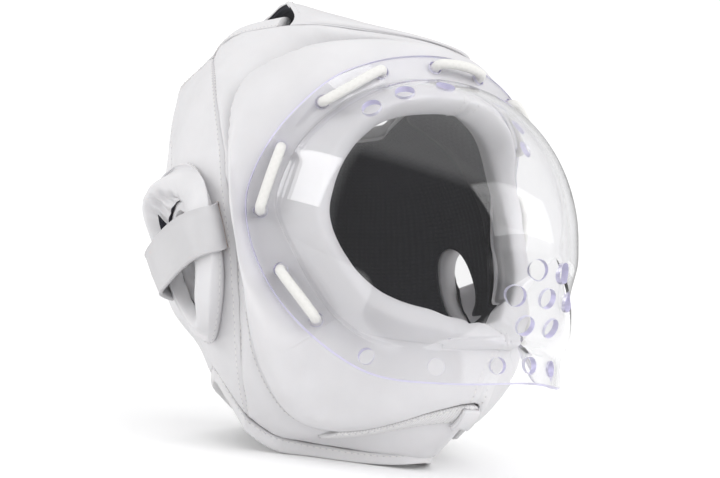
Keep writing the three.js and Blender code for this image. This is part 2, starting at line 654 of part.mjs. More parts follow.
// A lace stitch from hole to hole over the flange, its ends dipping into the holes.
function lace([from, to]) {
  const spot = (at) => mix(line("foot", at), line("flange", at), 0.52);
  const high = LACE.across / 2 + 0.7;
  const dip = -(VISOR.wall - 0.4);
  const centres = [];
  const lift = (at, height, shift) => {
    const p = spot(at).addScaledVector(flangeNormal(at), height);
    return p.addScaledVector(spot(to).sub(spot(from)).normalize(), shift);
  };
  centres.push(lift(from, dip, 0), lift(from, 0.6, 0.1), lift(from, high, 3));
  const chord = mix(spot(from), spot(to), 0.5);
  const middle = spot((from + to) / 2);
  const normal = flangeNormal((from + to) / 2);
  const clear = Math.max(middle.clone().sub(chord).dot(normal), 0);
  centres.push(chord.addScaledVector(normal, clear + high + LACE.rise));
  centres.push(lift(to, high, -3), lift(to, 0.6, -0.1), lift(to, dip, 0));
  const rowsAlong = 10;
  const sections = Array.from({ length: rowsAlong + 1 }, (_, i) => {
    const at = (i / rowsAlong) * (centres.length - 1);
    const p = along(centres, at);
    const ahead = along(centres, at + 0.05).sub(along(centres, at - 0.05)).normalize();
    const wide = new THREE.Vector3().crossVectors(ahead, flangeNormal((from + to) / 2)).normalize();
    const high2 = new THREE.Vector3().crossVectors(wide, ahead).normalize();
    return Array.from({ length: LACE.sides }, (_, k) => {
      const turn = (k / LACE.sides) * 2 * Math.PI;
      const q = p.clone().addScaledVector(wide, (Math.cos(turn) * LACE.across) / 2);
      return q.addScaledVector(high2, (Math.sin(turn) * LACE.across) / 2);
    });
  });
  return bar(sections);
}

// ---------------------------------------------------------------- chin trim

// A point of the surround panel's face, a given distance from the front pad's edge and above the face.
function surroundFace(at, distance, height) {
  const edge = inward(line("pad", at), 2);
  const across = seamAt(at).sub(edge).normalize();
  return inward(edge.addScaledVector(across, distance), -height);
}

// A strip lying on the surround panel under the chin, from side to side.
function chinBand() {
  const { near, far, thick } = CHIN_BAND;
  const spots = steps(12.5, STATIONS - 12.5, 10);
  const across = [near, far];
  const face = (height) => spots.map((at) => across.map((distance) => surroundFace(at, distance, height)));
  return sheet(face(0.9 + thick), face(0.9));
}

// A tab over the chin band and the seam in the middle of the chin.
function chinTab() {
  const { half, near, far, thick } = CHIN_TAB;
  const middle = STATIONS / 2;
  const low = 0.9 + CHIN_BAND.thick + 0.6;
  const face = (height) =>
    [-half, half].map((x) =>
      steps(near, far, 4).map((distance) => surroundFace(middle, distance, height).setX(-x)),
    );
  return sheet(face(low + thick), face(low));
}

// ---------------------------------------------------------------- assembly

const helmet = new THREE.Group();

function place(name, geometry, finish) {
  geometry.computeVertexNormals();
  const mesh = new THREE.Mesh(geometry, new THREE.MeshStandardMaterial(FINISH[finish]));
  mesh.name = name;
  helmet.add(mesh);
}

const SIDES = [
  ["left", 1],
  ["right", -1],
];

place("front_pad", frontPad(), "leather");
place("face_roll", faceRoll(), "leather");
place("surround_panel", surroundPanel(), "leather");
place("face_lining", faceLining(), "lining");
place("side_panel_left", cut(headPanel([0, REAR]), [earHole(1)]), "leather");
place("side_panel_right", cut(headPanel([2 * NAPE - REAR, 2 * NAPE]), [earHole(-1)]), "leather");
place("back_panel", headPanel([REAR, 2 * NAPE - REAR]), "leather");
place("head_lining", headLining(), "lining");
place("crown_band", crownBand(), "binding");
place("rim_band", rimBand(), "binding");
place("top_flap", topFlap(), "leather");
place("chin_band", chinBand(), "webbing");
place("chin_tab", chinTab(), "leather");
place("visor", visor(), "visor");
for (const [word, side] of SIDES) {
  place("ear_ring_" + word, earRing(side), "leather");
  place("ear_strap_" + word, strap(EAR_STRAP_ROUTE, STRAP_THICK, 20, side), "leather");
}
for (const { name, ends, pair } of LACES) {
  if (!pair) {
    place(name, lace(ends), "cord");
    continue;
  }
  place(name + "_left", lace(ends), "cord");
  place(name + "_right", lace(ends.map((end) => STATIONS - end)), "cord");
}

helmet.position.y = -CENTRE_Y;
export default helmet;
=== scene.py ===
import math

import bmesh
import bpy
import numpy as np
from mathutils import Matrix, Vector


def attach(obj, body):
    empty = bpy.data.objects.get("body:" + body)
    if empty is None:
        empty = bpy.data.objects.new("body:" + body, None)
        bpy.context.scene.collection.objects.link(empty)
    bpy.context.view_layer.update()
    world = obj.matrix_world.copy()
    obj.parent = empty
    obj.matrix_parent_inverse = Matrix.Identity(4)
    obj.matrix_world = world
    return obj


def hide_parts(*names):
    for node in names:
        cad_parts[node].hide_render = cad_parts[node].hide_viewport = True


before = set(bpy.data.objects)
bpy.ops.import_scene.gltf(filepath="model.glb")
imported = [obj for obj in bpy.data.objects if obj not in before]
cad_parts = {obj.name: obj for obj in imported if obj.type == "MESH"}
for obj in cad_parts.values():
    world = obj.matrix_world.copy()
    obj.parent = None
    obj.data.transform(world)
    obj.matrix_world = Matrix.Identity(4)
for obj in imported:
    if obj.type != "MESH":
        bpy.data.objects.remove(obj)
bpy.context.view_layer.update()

bl_info = {
    "name": "Full-face bubble helmet",
    "version": (1, 0, 0),
    "blender": (4, 5, 0),
    "location": "3D View > Sidebar > Helmet",
    "description": "Builds the padded head guard, its clear domed visor, straps, laces and stitching",
    "category": "Object",
}

MM = 0.001
CENTRE_Y = 16.5  # the tables below stand this far behind the frame's own origin, in mm

# ---------------------------------------------------------------- tables, in mm

# Stations round the face, from the brow down the wearer's left to the chin, with a point of each line: the
# surround's outer seam, the front pad's edge, the visor's edge, the foot of its dome, and the face opening.
LINE_NAMES = ("seam", "pad", "flange", "foot", "hem")
FRONT = (
    ((0, -17, 209), (0, -21, 204), (0, -37, 201), (0, -44, 188), (0, -43, 171)),
    ((32, -9, 209), (29, -14, 204), (33, -33, 195), (28, -41, 185), (20, -38, 169)),
    ((57, 18, 210), (55, 1, 200), (50, -30, 188), (46, -35, 178), (35, -31, 163)),
    ((63, 68, 208), (70, 9, 191), (65, -25, 179), (59, -28, 168), (44, -27, 156)),
    ((70, 75, 196), (83, 19, 181), (78, -17, 162), (70, -21, 155), (50, -25, 146)),
    ((86, 43, 174), (91, 19, 164), (86, -10, 146), (77, -16, 141), (55, -25, 136)),
    ((92, 21, 148), (96, 7, 139), (91, -5, 127), (81, -14, 125), (59.5, -27, 123)),
    ((94, 10, 126), (97, -1, 118), (92, -6, 113), (82, -15, 114), (60.5, -29, 113)),
    ((93, -1, 98), (95, -8, 94), (89, -12, 94), (79, -24, 100), (57.5, -37, 100)),
    ((91, -6, 72), (93, -16, 70), (81, -22, 76), (70, -32, 82), (50, -45, 89)),
    ((84, -4, 42), (84, -18, 45), (71, -37, 61), (63, -41, 70), (42, -51, 83)),
    ((69, 8, 16), (66, -17, 23), (60, -58, 49), (56, -56, 61), (32, -58, 79)),
    ((57, 3, 9), (48, -20, 15), (52, -72, 46), (50, -71, 59), (24, -64, 77)),
    ((42, -4, 6), (30, -37, 17), (44, -86, 46.5), (43, -85, 60), (16, -69, 75)),
    ((22, -25, 5), (16, -61, 30), (26, -101, 48), (26, -99, 63), (8, -74, 74)),
    ((0, -45, 5), (0, -77, 38), (0, -109, 51), (0, -107, 67), (0, -77, 73)),
)
# Under the chin, where the visor leaves the leather: the pad's lower face and its upper face under the roll.
CHIN = (
    ((68, -30, 57), (59, -40, 68)),
    ((60, -30, 45), (49, -46, 63)),
    ((47, -39, 41), (38, -56, 61)),
    ((32, -54, 43), (26, -68, 61)),
    ((17, -70, 47), (14, -79, 61)),
    ((0, -81, 50), (0, -86, 62)),
)
# Level lines of the head panels from the crown down: over the ear, rear seam, where the back turns, nape.
LEVELS = (
    ((72, 86, 188), (74, 99, 178), (52, 124, 174), (0, 136, 174)),
    ((84, 68, 166), (78, 94, 156), (54, 125, 155), (0, 140, 155)),
    ((91, 56, 141), (78, 88, 133), (55, 125, 131), (0, 142, 131)),
    ((94, 48, 118), (78, 84, 111), (55, 124, 108), (0, 142, 108)),
    ((94, 42, 94), (79, 80, 88), (55, 121, 85), (0, 138, 84)),
    ((90, 35, 70), (77, 70, 66), (53, 107, 62), (0, 128, 59)),
    ((83, 29, 50), (74, 46, 50), (53, 78, 43), (0, 115, 33)),
    ((75, 25, 34), (70, 40, 36), (48, 68, 26), (0, 95, 8)),
)
# Ear ring, from its rear over the top and down its front: y and z of its foot, a point of its lip, and the
# widths of its crest and of its foot.
EAR_RING = (
    ((65, 101), (104, 67, 107), 6, 13),
    ((61, 122), (103, 66, 123), 7, 15),
    ((38, 133), (103, 43, 131), 17, 18),
    ((19, 120), (107, 16, 124), 17, 20),
    ((3, 92), (110, 1, 96), 9, 14),
    ((2, 69), (108, -2, 68), 8, 12),
    ((14, 51), (101, 10, 55), 7, 12),
    ((41, 63), (98, 39, 69), 5, 12),
)
# Top flap: y and z of its centre line, and a point of its left edge.
FLAP = (
    ((8, 217), (50, 41, 226)),
    ((34, 224), (41, 54, 230)),
    ((58, 230), (35, 70, 231)),
    ((80, 232), (31, 84, 229)),
    ((102, 227), (28, 101, 224)),
    ((122, 214), (27, 119, 212)),
    ((136, 197), (27, 133, 195)),
    ((145, 175), (27, 142, 173)),
    ((148, 150), (27, 145, 149)),
)
# Ear strap: a point of its centre line, and half of its width there as a vector.
STRAP_ROUTE = (
    ((96.7, 7.4, 105), (0.9, 5.4, 10.6)),
    ((101.5, 2.9, 103.5), (0.4, 4.9, 10.6)),
    ((106.6, 0.9, 101.8), (-0.1, 5, 10.4)),
    ((111, 3, 99.4), (-0.3, 7, 10)),
    ((112.4, 10, 96.3), (-0.2, 8.6, 9.8)),
    ((111.2, 22, 91), (0, 9.6, 9.5)),
    ((107.5, 38, 84), (0, 9.8, 9.3)),
    ((104, 48, 80), (0, 9.5, 9)),
    ((99, 53.5, 78.4), (0, 9.5, 9)),
    ((92.3, 56, 77.2), (0, 9.5, 9)),
)
# Laces, each with the stations of its two holes on the wearer's left.
LACES = (
    ("lace_brow", (-0.47, 0.47), False),
    ("lace_temple", (1.7, 3.45), True),
    ("lace_side", (4.95, 6.95), True),
    ("lace_cheek", (8.5, 9.85), True),
)
LACE_HOLE, SKIRT_HOLE = 3.3, 3.7  # radii
DRILL_LONG = 0.014  # in m
OPEN_HOLES = (11.25, 13.2, 14.35, 15)  # stations of the open holes in the lower flange
BROW_VENTS = ((0.75, 1.8, 2.85), 0.95)  # stations, and how far out on the dome
MOUTH_VENTS = ((-17, 87.5), (0, 87.5), (17, 87.5), (-8.5, 100), (8.5, 100), (-8.5, 75), (8.5, 75))  # x and z

STATIONS = 2 * (len(FRONT) - 1)
LEAVES = 10  # station where the visor leaves the leather
REAR, NAPE = 2, 4  # places of the rear seam and the nape along a level
FIRST_LEVEL, LAST_LEVEL = 4, 11  # stations where the side seam starts and ends
FRONT_SHARE = 4  # places of a band that run along the front
LOOP = 2 * (FRONT_SHARE + NAPE)
WALL = 8
LINING_THICK = 1.4
PAD_DEPTH = 13
STRAP_THICK = 2.2
PAD_SWELL, SWELL, ROLL_SWELL = 5, 3, 10  # how far the front pad, the head panels and the face roll bulge
ROLL_DEPTH = 15
BAND_GAP = 0.5
CROWN_BAND = {"tall": 8.5, "thick": 8, "lean": 0.75, "middle": (0, 60, 0)}
RIM_BAND = {"tall": 7.6, "thick": 9, "lean": 0, "middle": (0, 40, 0)}
FLAP_REACH = 2.3  # places of the crown band that the flap covers on each side
FLAP_CLEAR = 0.16
FLAP_THICK = 3.4
FLAP_ROW, FLAP_HALF = 22, 40  # about how many mm one row of the flap and its half width take
APEX = (0, -115, 107.5)
DOME_ROUNDNESS, DOME_FULLNESS = 1.7, 0.75
VISOR_WALL = 3
VISOR_GAP = 1  # between the visor and the leather
CHIN_TAPE = {"start": 12.5, "near": 1.5, "far": 13, "lift": 0.9}  # first station, then from the pad's edge
CHIN_TAB = {"half": 5, "near": 3, "far": 15}
EAR_HOLE = {"y": 32, "z": 89, "wide": 12.5, "tall": 26, "lean": 0.61}
HEAD = np.array((0, 26, 112.0))


# ---------------------------------------------------------------- the add-on's own sizes and colours


def size_of(name, description, default, least=0.0):
    return bpy.props.FloatProperty(
        name=name, description=description, default=default, min=least, subtype="DISTANCE", unit="LENGTH")


def colour_of(name, description, default):
    return bpy.props.StringProperty(name=name, description=description, default=default)


class HelmetSizes(bpy.types.PropertyGroup):
    """Sizes that a user would change."""

    stitch_pitch: size_of("Stitch pitch", "Distance from one needle hole to the next", 0.0031, 0.001)
    thread: size_of("Thread", "Thickness of the sewing thread", 0.00055, 0.0001)
    lace: size_of("Lace", "Thickness of the braided lace", 0.0048, 0.001)
    pucker: size_of("Pucker", "Height of the gathers along the front pad's seam", 0.0003)
    vent: size_of("Breathing hole", "Diameter of the breathing holes in the dome", 0.0092, 0.002)
    grain: size_of("Leather grain", "Width of one cell of the embossed grain", 0.0011, 0.0002)


class HelmetColours(bpy.types.PropertyGroup):
    """Colours as sRGB hex values."""

    leather: colour_of("Leather", "Embossed synthetic leather", "D0CFD1")
    binding: colour_of("Binding", "Bindings of the crown and rim", "CFCED0")
    lining: colour_of("Lining", "Knitted lining", "20202A")
    lace: colour_of("Lace", "Braided lace", "D9D8D5")
    thread: colour_of("Thread", "Sewing thread", "D9D7D5")
    needle: colour_of("Needle holes", "Shadow in the needle holes", "B5B3B7")
    tint: colour_of("Visor tint", "What thick polycarbonate lets through", "CFCCEC")
    edge: colour_of("Visor edge", "Sawn and drilled polycarbonate", "D6D2EC")
    floor: colour_of("Floor", "Matt floor board", "FAFAFA")


def sizes():
    return bpy.context.scene.helmet_sizes


def colours():
    return bpy.context.scene.helmet_colours


# ---------------------------------------------------------------- curves and lines


def catmull(a, b, c, d, t):
    """The Catmull-Rom value at t between b and c."""
    out = a * (2 * t**2 - t - t**3) + b * (2 - 5 * t**2 + 3 * t**3) + c * (t + 4 * t**2 - 3 * t**3)
    return (out + d * (t**3 - t**2)) / 2


def along(points, at, closed=False):
    """Catmull-Rom values of a row of points at real indices."""
    points, at = np.asarray(points, float), np.asarray(at, float)
    n = len(points)
    i = np.floor(at).astype(int)
    t = (at - i).reshape(at.shape + (1,) * (points.ndim - 1))
    pick = lambda k: points[k % n] if closed else points[np.clip(k, 0, n - 1)]
    return catmull(pick(i - 1), pick(i), pick(i + 1), pick(i + 2), t)


def mirrored(p):
    return p * np.array((-1, 1, 1))


def unit(v):
    return v / np.maximum(np.linalg.norm(v, axis=-1, keepdims=True), 1e-12)


def spread(weights):
    """Lets a row of numbers multiply a row of points."""
    return np.asarray(weights, float)[..., None]


def ease(x):
    x = np.clip(x, 0, 1)
    return x * x * (3 - 2 * x)


def hill(x, width):
    """1 where x is 0, falling smoothly to nothing about two widths away."""
    return np.exp(-((x / width) ** 2))


def folded(at, length):
    """Distance from the start of a loop the shorter way, and whether that is on the right."""
    turned = np.mod(at, length)
    return np.minimum(turned, length - turned), turned > length / 2


def loop_of(rows):
    rows = np.asarray(rows, float)
    return np.concatenate([rows, mirrored(rows[1:-1][::-1])])


FINE = 0.05  # stations between the points of a softened line


def softened(points, width):
    """A closed line's own dense points, with bumps shorter than width stations smoothed away."""
    dense = along(points, np.arange(0, STATIONS, FINE), True)
    reach = np.arange(-60, 61)
    weights = hill(reach * FINE, width)
    weights /= weights.sum()
    return sum(w * np.roll(dense, -k, axis=0) for k, w in zip(reach, weights))


LINES = {name: loop_of([row[i] for row in FRONT]) for i, name in enumerate(LINE_NAMES)}
SMOOTH = {name: softened(LINES[name], 0.55) for name in ("flange", "foot", "hem", "pad")}


def line(key, at):
    """A line's points at stations round the face."""
    return along(SMOOTH[key], np.mod(at, STATIONS) / FINE, True)


def inward(p, depth):
    """Points moved towards the middle of the head by a depth."""
    return p + unit(HEAD - p) * (spread(depth) if np.ndim(depth) else depth)


SEAM = np.array([row[0] for row in FRONT], float)
SEAM_PARTS = (
    (0, FIRST_LEVEL, -1, np.concatenate([mirrored(SEAM[1:2]), SEAM[: FIRST_LEVEL + 1]])),
    (FIRST_LEVEL, LAST_LEVEL, FIRST_LEVEL, SEAM[FIRST_LEVEL : LAST_LEVEL + 1]),
    (LAST_LEVEL, len(SEAM), LAST_LEVEL, np.concatenate([SEAM[LAST_LEVEL:], mirrored(SEAM[-2:-1])])),
)


def seam_at(at):
    """The outer seam: round the crown, down the side and along the rim, with corners between them."""
    down, right = folded(at, STATIONS)
    out = np.zeros(np.shape(down) + (3,))
    for low, high, start, points in SEAM_PARTS:
        there = (down >= low) & (down <= high) if low == 0 else (down > low) & (down <= high)
        out[there] = along(points, down[there] - start)
    out[right] = mirrored(out[right])
    return out


def flange_normal(at):
    """The way out of the flange, between the dome's foot and the visor's edge."""
    ahead = line("flange", at + 0.2) - line("flange", at - 0.2)
    return unit(np.cross(line("foot", at) - line("flange", at), ahead))


def pad_face(at):
    """Shoulder and crest of the front pad, under the visor's edge and under the foot of its dome."""
    down, right = folded(at, STATIONS)
    under = flange_normal(at) * -(VISOR_WALL + VISOR_GAP)
    chin = along(np.array(CHIN, float), np.maximum(down - LEAVES, 0))
    chin[right] = mirrored(chin[right])
    blend = spread(np.clip(down - LEAVES + 1, 0, 1))
    shoulder = (line("flange", at) + under) * (1 - blend) + chin[:, 0] * blend
    crest = (line("foot", at) + under) * (1 - blend) + chin[:, 1] * blend
    return shoulder, crest


def level_lines():
    """Each level line in full: from the left side seam round the back to the right one."""
    lines = []
    for i, row in enumerate(LEVELS):
        half = np.array([FRONT[FIRST_LEVEL + i][0], *row], float)
        lines.append(np.concatenate([half, mirrored(half[:-1][::-1])]))
    return np.array(lines)


LEVEL_LINES = level_lines()
LAST = len(LEVELS) - 1
PLACE_WIDE, LEVEL_TALL = 30, 22  # about how many mm one place and one level take


def skin(place, level):
    """The head's skin: place runs from the left side seam to the right one, level down from the crown."""
    at_place = along(LEVEL_LINES.transpose(1, 0, 2), np.asarray(place, float))
    i = np.asarray(level, float)
    rows = np.moveaxis(at_place, -2, 0)
    k = np.floor(i).astype(int)
    t = (i - k)[..., None]
    index = [np.clip(k + d, 0, LAST) for d in (-1, 0, 1, 2)]
    return catmull(*[np.take_along_axis(rows, n[None, ..., None], 0)[0] for n in index], t)


def skin_normal(place, level):
    d = 0.04
    a, b = np.clip(place, d, 2 * NAPE - d), np.clip(level, d, LAST - d)
    return unit(np.cross(skin(a, b + d) - skin(a, b - d), skin(a + d, b) - skin(a - d, b)))


def bump(place, level, span, swell):
    """Height of a panel's padding: full in its middle and nothing at its seams."""
    s = np.clip((place - span[0]) / (span[1] - span[0]), 0, 1)
    t = np.clip(level / LAST, 0, 1)
    return swell * (4 * s * (1 - s)) ** 0.6 * (4 * t * (1 - t)) ** 0.5


def side_face(y, z, raise_by):
    """The left side panel's face at a given depth and height, raised by a clearance."""
    place, level = np.full(np.shape(y), 1.0), np.full(np.shape(y), 4.0)
    step = 0.01
    for _ in range(40):
        p = skin(place, level)
        dp = (skin(place + step, level) - p) / step
        dl = (skin(place, level + step) - p) / step
        det = dp[..., 1] * dl[..., 2] - dp[..., 2] * dl[..., 1]
        far_y, far_z = y - p[..., 1], z - p[..., 2]
        place = np.clip(place + 0.6 * (far_y * dl[..., 2] - far_z * dl[..., 1]) / det, 0, REAR)
        level = np.clip(level + 0.6 * (dp[..., 1] * far_z - dp[..., 2] * far_y) / det, 0, LAST)
    height = bump(place, level, (0, REAR), SWELL) + raise_by
    return skin(place, level) + skin_normal(place, level) * spread(height)


# ---------------------------------------------------------------- soft relief


def noise(u, v, seed, around=0):
    """Smooth noise from -1 to 1 on two coordinates; around makes u repeat after that many cells."""
    table = np.random.default_rng(seed).uniform(-1, 1, (64, 64))
    i, j = np.floor(u).astype(int), np.floor(v).astype(int)
    s, t = ease(u - i), ease(v - j)
    wrap = around or 64
    at = lambda a, b: table[(a % wrap) % 64, b % 64]
    low = at(i, j) * (1 - s) + at(i + 1, j) * s
    high = at(i, j + 1) * (1 - s) + at(i + 1, j + 1) * s
    return low * (1 - t) + high * t


def grid_normals(p, wrap):
    """Unit normals of a grid of points whose rows may wrap round."""
    if wrap:
        du = np.roll(p, -1, axis=0) - np.roll(p, 1, axis=0)
    else:
        du = np.gradient(p, axis=0)
    return unit(np.cross(np.gradient(p, axis=1), du))


def normals_from(p, wrap, middle):
    """Unit normals of a grid, turned away from a middle."""
    normal = grid_normals(p, wrap)
    return normal * np.sign(np.sum(normal * (p - middle), -1).mean())


def lengths(p, axis):
    """Distance in mm run along an axis of a grid, averaged over the other axis."""
    steps = np.linalg.norm(np.diff(p, axis=axis), axis=-1).mean(axis=1 - axis)
    return np.concatenate([[0], np.cumsum(steps)])


# ---------------------------------------------------------------- meshes


def to_frame(points):
    points = np.asarray(points, float).reshape(-1, 3)
    return (points - np.array((0, CENTRE_Y, 0))) * MM


def new_object(name, vertices, faces, material, uvs=None):
    mesh = bpy.data.meshes.new(name)
    mesh.from_pydata([tuple(v) for v in vertices], [], faces)
    if uvs is not None:
        layer = mesh.uv_layers.new(name="UVMap")
        index = np.zeros(len(mesh.loops), np.int32)
        mesh.loops.foreach_get("vertex_index", index)
        layer.data.foreach_set("uv", np.asarray(uvs, np.float32)[index].ravel())
    mesh.polygons.foreach_set("use_smooth", [True] * len(mesh.polygons))
    mesh.update()
    made = bpy.data.objects.new(name, mesh)
    bpy.context.scene.collection.objects.link(made)
    if material is not None:
        mesh.materials.append(material)
    return made


def closed_solid(name, sections, material, wrap=False):
    """A closed piece from closed sections: joined in a ring, or capped at both ends across the section."""
    sections = np.asarray(sections, float)
    n, m = sections.shape[:2]
    grid = np.arange(n * m).reshape(n, m)
    faces = []
    for i in range(n if wrap else n - 1):
        a, b = grid[i], grid[(i + 1) % n]
        faces += [(a[j], a[(j + 1) % m], b[(j + 1) % m], b[j]) for j in range(m)]
    if not wrap:
        for row, flip in ((grid[0], True), (grid[-1], False)):
            for j in range((m - 1) // 2):
                quad = [row[j], row[j + 1], row[m - 2 - j], row[m - 1 - j]]
                quad = list(dict.fromkeys(int(k) for k in quad))
                if len(quad) > 2:
                    faces.append(tuple(quad[::-1] if not flip else quad))
    vertices = to_frame(sections)
    u = lengths(sections, 0)[:, None].repeat(m, 1)
    v = lengths(sections, 1)[None, :].repeat(n, 0)
    made = new_object(name, vertices, [tuple(int(k) for k in f) for f in faces], material,
                      np.stack([u, v], -1).reshape(-1, 2) * MM)
    face_out(made)
    return made


def face_out(made):
    """Turns a closed mesh's faces outwards and joins its doubles."""
    work = bmesh.new()
    work.from_mesh(made.data)
    bmesh.ops.remove_doubles(work, verts=work.verts, dist=1e-6)
    bmesh.ops.recalc_face_normals(work, faces=work.faces)
    if work.calc_volume(signed=True) < 0:
        bmesh.ops.reverse_faces(work, faces=work.faces)
    work.to_mesh(made.data)
    work.free()
    made.data.polygons.foreach_set("use_smooth", [True] * len(made.data.polygons))
    made.data.update()


def paint(made, finish, where):
    """Gives the faces that a test picks a second finish."""
    made.data.materials.append(material(finish))
    for face in made.data.polygons:
        if where(face):
            face.material_index = 1


def apply_modifiers(made):
    """Makes what the modifiers show the object's own mesh."""
    bpy.context.view_layer.update()
    graph = bpy.context.evaluated_depsgraph_get()
    shown = made.evaluated_get(graph)
    result = bpy.data.meshes.new_from_object(shown, preserve_all_data_layers=True, depsgraph=graph)
    made.modifiers.clear()
    made.data = result
    return made


def combine(made, tool, operation):
    """Joins or cuts a closed piece with another, which is then removed."""
    change = made.modifiers.new(operation, "BOOLEAN")
    change.operation = operation
    change.solver = "MANIFOLD"
    change.object = tool
    apply_modifiers(made)
    bpy.data.objects.remove(tool)
    return made


def settle(made, nodes):
    """Puts a finished piece on the root body and hides the parts of model.glb that it stands for."""
    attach(made, "root")
    if nodes:
        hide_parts(*nodes)
    return made


# ---------------------------------------------------------------- materials


def linear(code):
    """sRGB hex to linear RGBA."""
    parts = [int(code[i : i + 2], 16) / 255 for i in (0, 2, 4)]
    return tuple(c / 12.92 if c <= 0.04045 else ((c + 0.055) / 1.055) ** 2.4 for c in parts) + (1.0,)


def add(tree, kind, settings=None, **links):
    """Adds a node: settings by attribute name, then links and values by socket name, with _ for a space, or
    by i and the socket's number."""
    made = tree.nodes.new(kind)
    for key, value in (settings or {}).items():
        setattr(made, key, value)
    for key, value in links.items():
        numbered = key[0] == "i" and key[1:].isdigit()
        socket = made.inputs[int(key[1:]) if numbered else key.replace("_", " ")]
        if isinstance(value, bpy.types.NodeSocket):
            tree.links.new(value, socket)
        else:
            socket.default_value = value
    return made


def calc(tree, operation, *values):
    """The result of one sum over values and sockets."""
    links = {f"i{k}": value for k, value in enumerate(values)}
    return add(tree, "ShaderNodeMath", {"operation": operation}, **links).outputs[0]


def ranged(tree, value, low, high, first=0.0, last=1.0):
    """Carries a value from low and high to first and last, and holds it beyond them."""
    made = add(tree, "ShaderNodeMapRange", Value=value,
               From_Min=low, From_Max=high, To_Min=first, To_Max=last)
    return made.outputs[0]


def blend(tree, share, first, second):
    """A colour between two."""
    return add(tree, "ShaderNodeMix", {"data_type": "RGBA"}, i0=share, i6=first, i7=second).outputs[2]


def emboss(tree, height, strength, distance, **more):
    """The normal of a face with a small relief pressed into it."""
    return add(tree, "ShaderNodeBump", Strength=strength, Distance=distance, Height=height, **more).outputs[0]


def cloud(tree, place, scale, **more):
    """Smooth uneven marks, each about 1 / scale m wide."""
    return add(tree, "ShaderNodeTexNoise", Vector=place, Scale=scale, **more).outputs["Fac"]


def ribbed(tree, place, direction, scale, **more):
    """Even ribs across a direction."""
    made = add(tree, "ShaderNodeTexWave", {"bands_direction": direction}, Vector=place, Scale=scale, **more)
    return made.outputs["Fac"]


def new_material(name):
    material = bpy.data.materials.new(name)
    material.use_nodes = True
    material.node_tree.nodes.clear()
    return material, material.node_tree


def opaque(tree, colour, roughness, **more):
    """Ends a tree in one opaque surface."""
    shader = add(tree, "ShaderNodeBsdfPrincipled", Base_Color=colour, Roughness=roughness, **more)
    add(tree, "ShaderNodeOutputMaterial", Surface=shader.outputs[0])


def leather_material(name, code, dark):
    """Embossed PU synthetic leather: pressed pebble grain, a soft satin shine, and faint handling marks."""
    material, tree = new_material(name)
    place = add(tree, "ShaderNodeTexCoord").outputs["Object"]
    cells = 1 / sizes().grain
    grain = add(tree, "ShaderNodeTexVoronoi", {"feature": "DISTANCE_TO_EDGE"}, Vector=place, Scale=cells)
    fine = cloud(tree, place, cells * 1.7, Detail=3.0, Roughness=0.6)
    mark = cloud(tree, place, 24.0, Detail=4.0, Roughness=0.55)
    crease = add(tree, "ShaderNodeTexNoise", {"noise_type": "RIDGED_MULTIFRACTAL"},
                 Vector=place, Scale=30.0, Detail=4.0, Roughness=0.5, Distortion=0.4)
    valley = calc(tree, "SMOOTH_MIN", grain.outputs["Distance"], 0.22, 0.1)
    height = calc(tree, "MULTIPLY_ADD", fine, 0.25, valley)
    colour = blend(tree, ranged(tree, mark, 0.35, 0.7), linear(code), linear(dark))
    pressed = emboss(tree, height, 0.32, 0.00016)
    folds = emboss(tree, crease.outputs["Fac"], 0.1, 0.0012, Normal=pressed)
    opaque(tree, colour, ranged(tree, mark, 0.3, 0.75, 0.46, 0.6), Normal=folds, IOR=1.5,
           Coat_Weight=0.12, Coat_Roughness=0.35,
           Subsurface_Weight=0.06, Subsurface_Radius=(0.004, 0.003, 0.0025), Subsurface_Scale=0.5)
    return material


def lining_material():
    """Knitted polyester lining: rows of small loops that catch a little light on their backs."""
    material, tree = new_material("knitted_polyester_lining")
    place = add(tree, "ShaderNodeTexCoord").outputs["UV"]
    wale = ribbed(tree, place, "X", 105.0, Distortion=0.6, Detail=1.0)
    course = ribbed(tree, place, "Y", 130.0, Distortion=0.8, Detail=1.0)
    loops = calc(tree, "MULTIPLY", wale, course)
    colour = blend(tree, loops, linear(colours().lining), linear("2A2A34"))
    opaque(tree, colour, 0.9, Normal=emboss(tree, loops, 0.6, 0.0004), Sheen_Weight=0.06,
           Sheen_Roughness=0.5, IOR=1.45)
    return material


def webbing_material():
    """Corded grosgrain tape: close ribs across the tape and a soft pale face."""
    material, tree = new_material("corded_grosgrain_tape")
    place = add(tree, "ShaderNodeTexCoord").outputs["UV"]
    ribs = ribbed(tree, place, "X", 210.0, Distortion=1.2, Detail=2.0)
    warp = cloud(tree, place, 1500.0, Detail=2.0)
    height = calc(tree, "MULTIPLY_ADD", warp, 0.5, ribs)
    # Darker in the grooves between the ribs: painted shade.
    colour = blend(tree, ribs, linear("C9C8C9"), linear("D8D7D8"))
    opaque(tree, colour, 0.8, Normal=emboss(tree, height, 0.5, 0.0004), Sheen_Weight=0.2, IOR=1.46)
    return material


def elastic_material():
    """Woven tan elastic: fine ribs across the tape."""
    material, tree = new_material("woven_tan_elastic")
    place = add(tree, "ShaderNodeTexCoord").outputs["UV"]
    ribs = ribbed(tree, place, "Y", 300.0, Distortion=0.5)
    # Darker in the grooves between the ribs: painted shade.
    colour = blend(tree, ribs, linear("C2AC9C"), linear("D6C6BA"))
    opaque(tree, colour, 0.8, Normal=emboss(tree, ribs, 0.4, 0.0003), IOR=1.46)
    return material


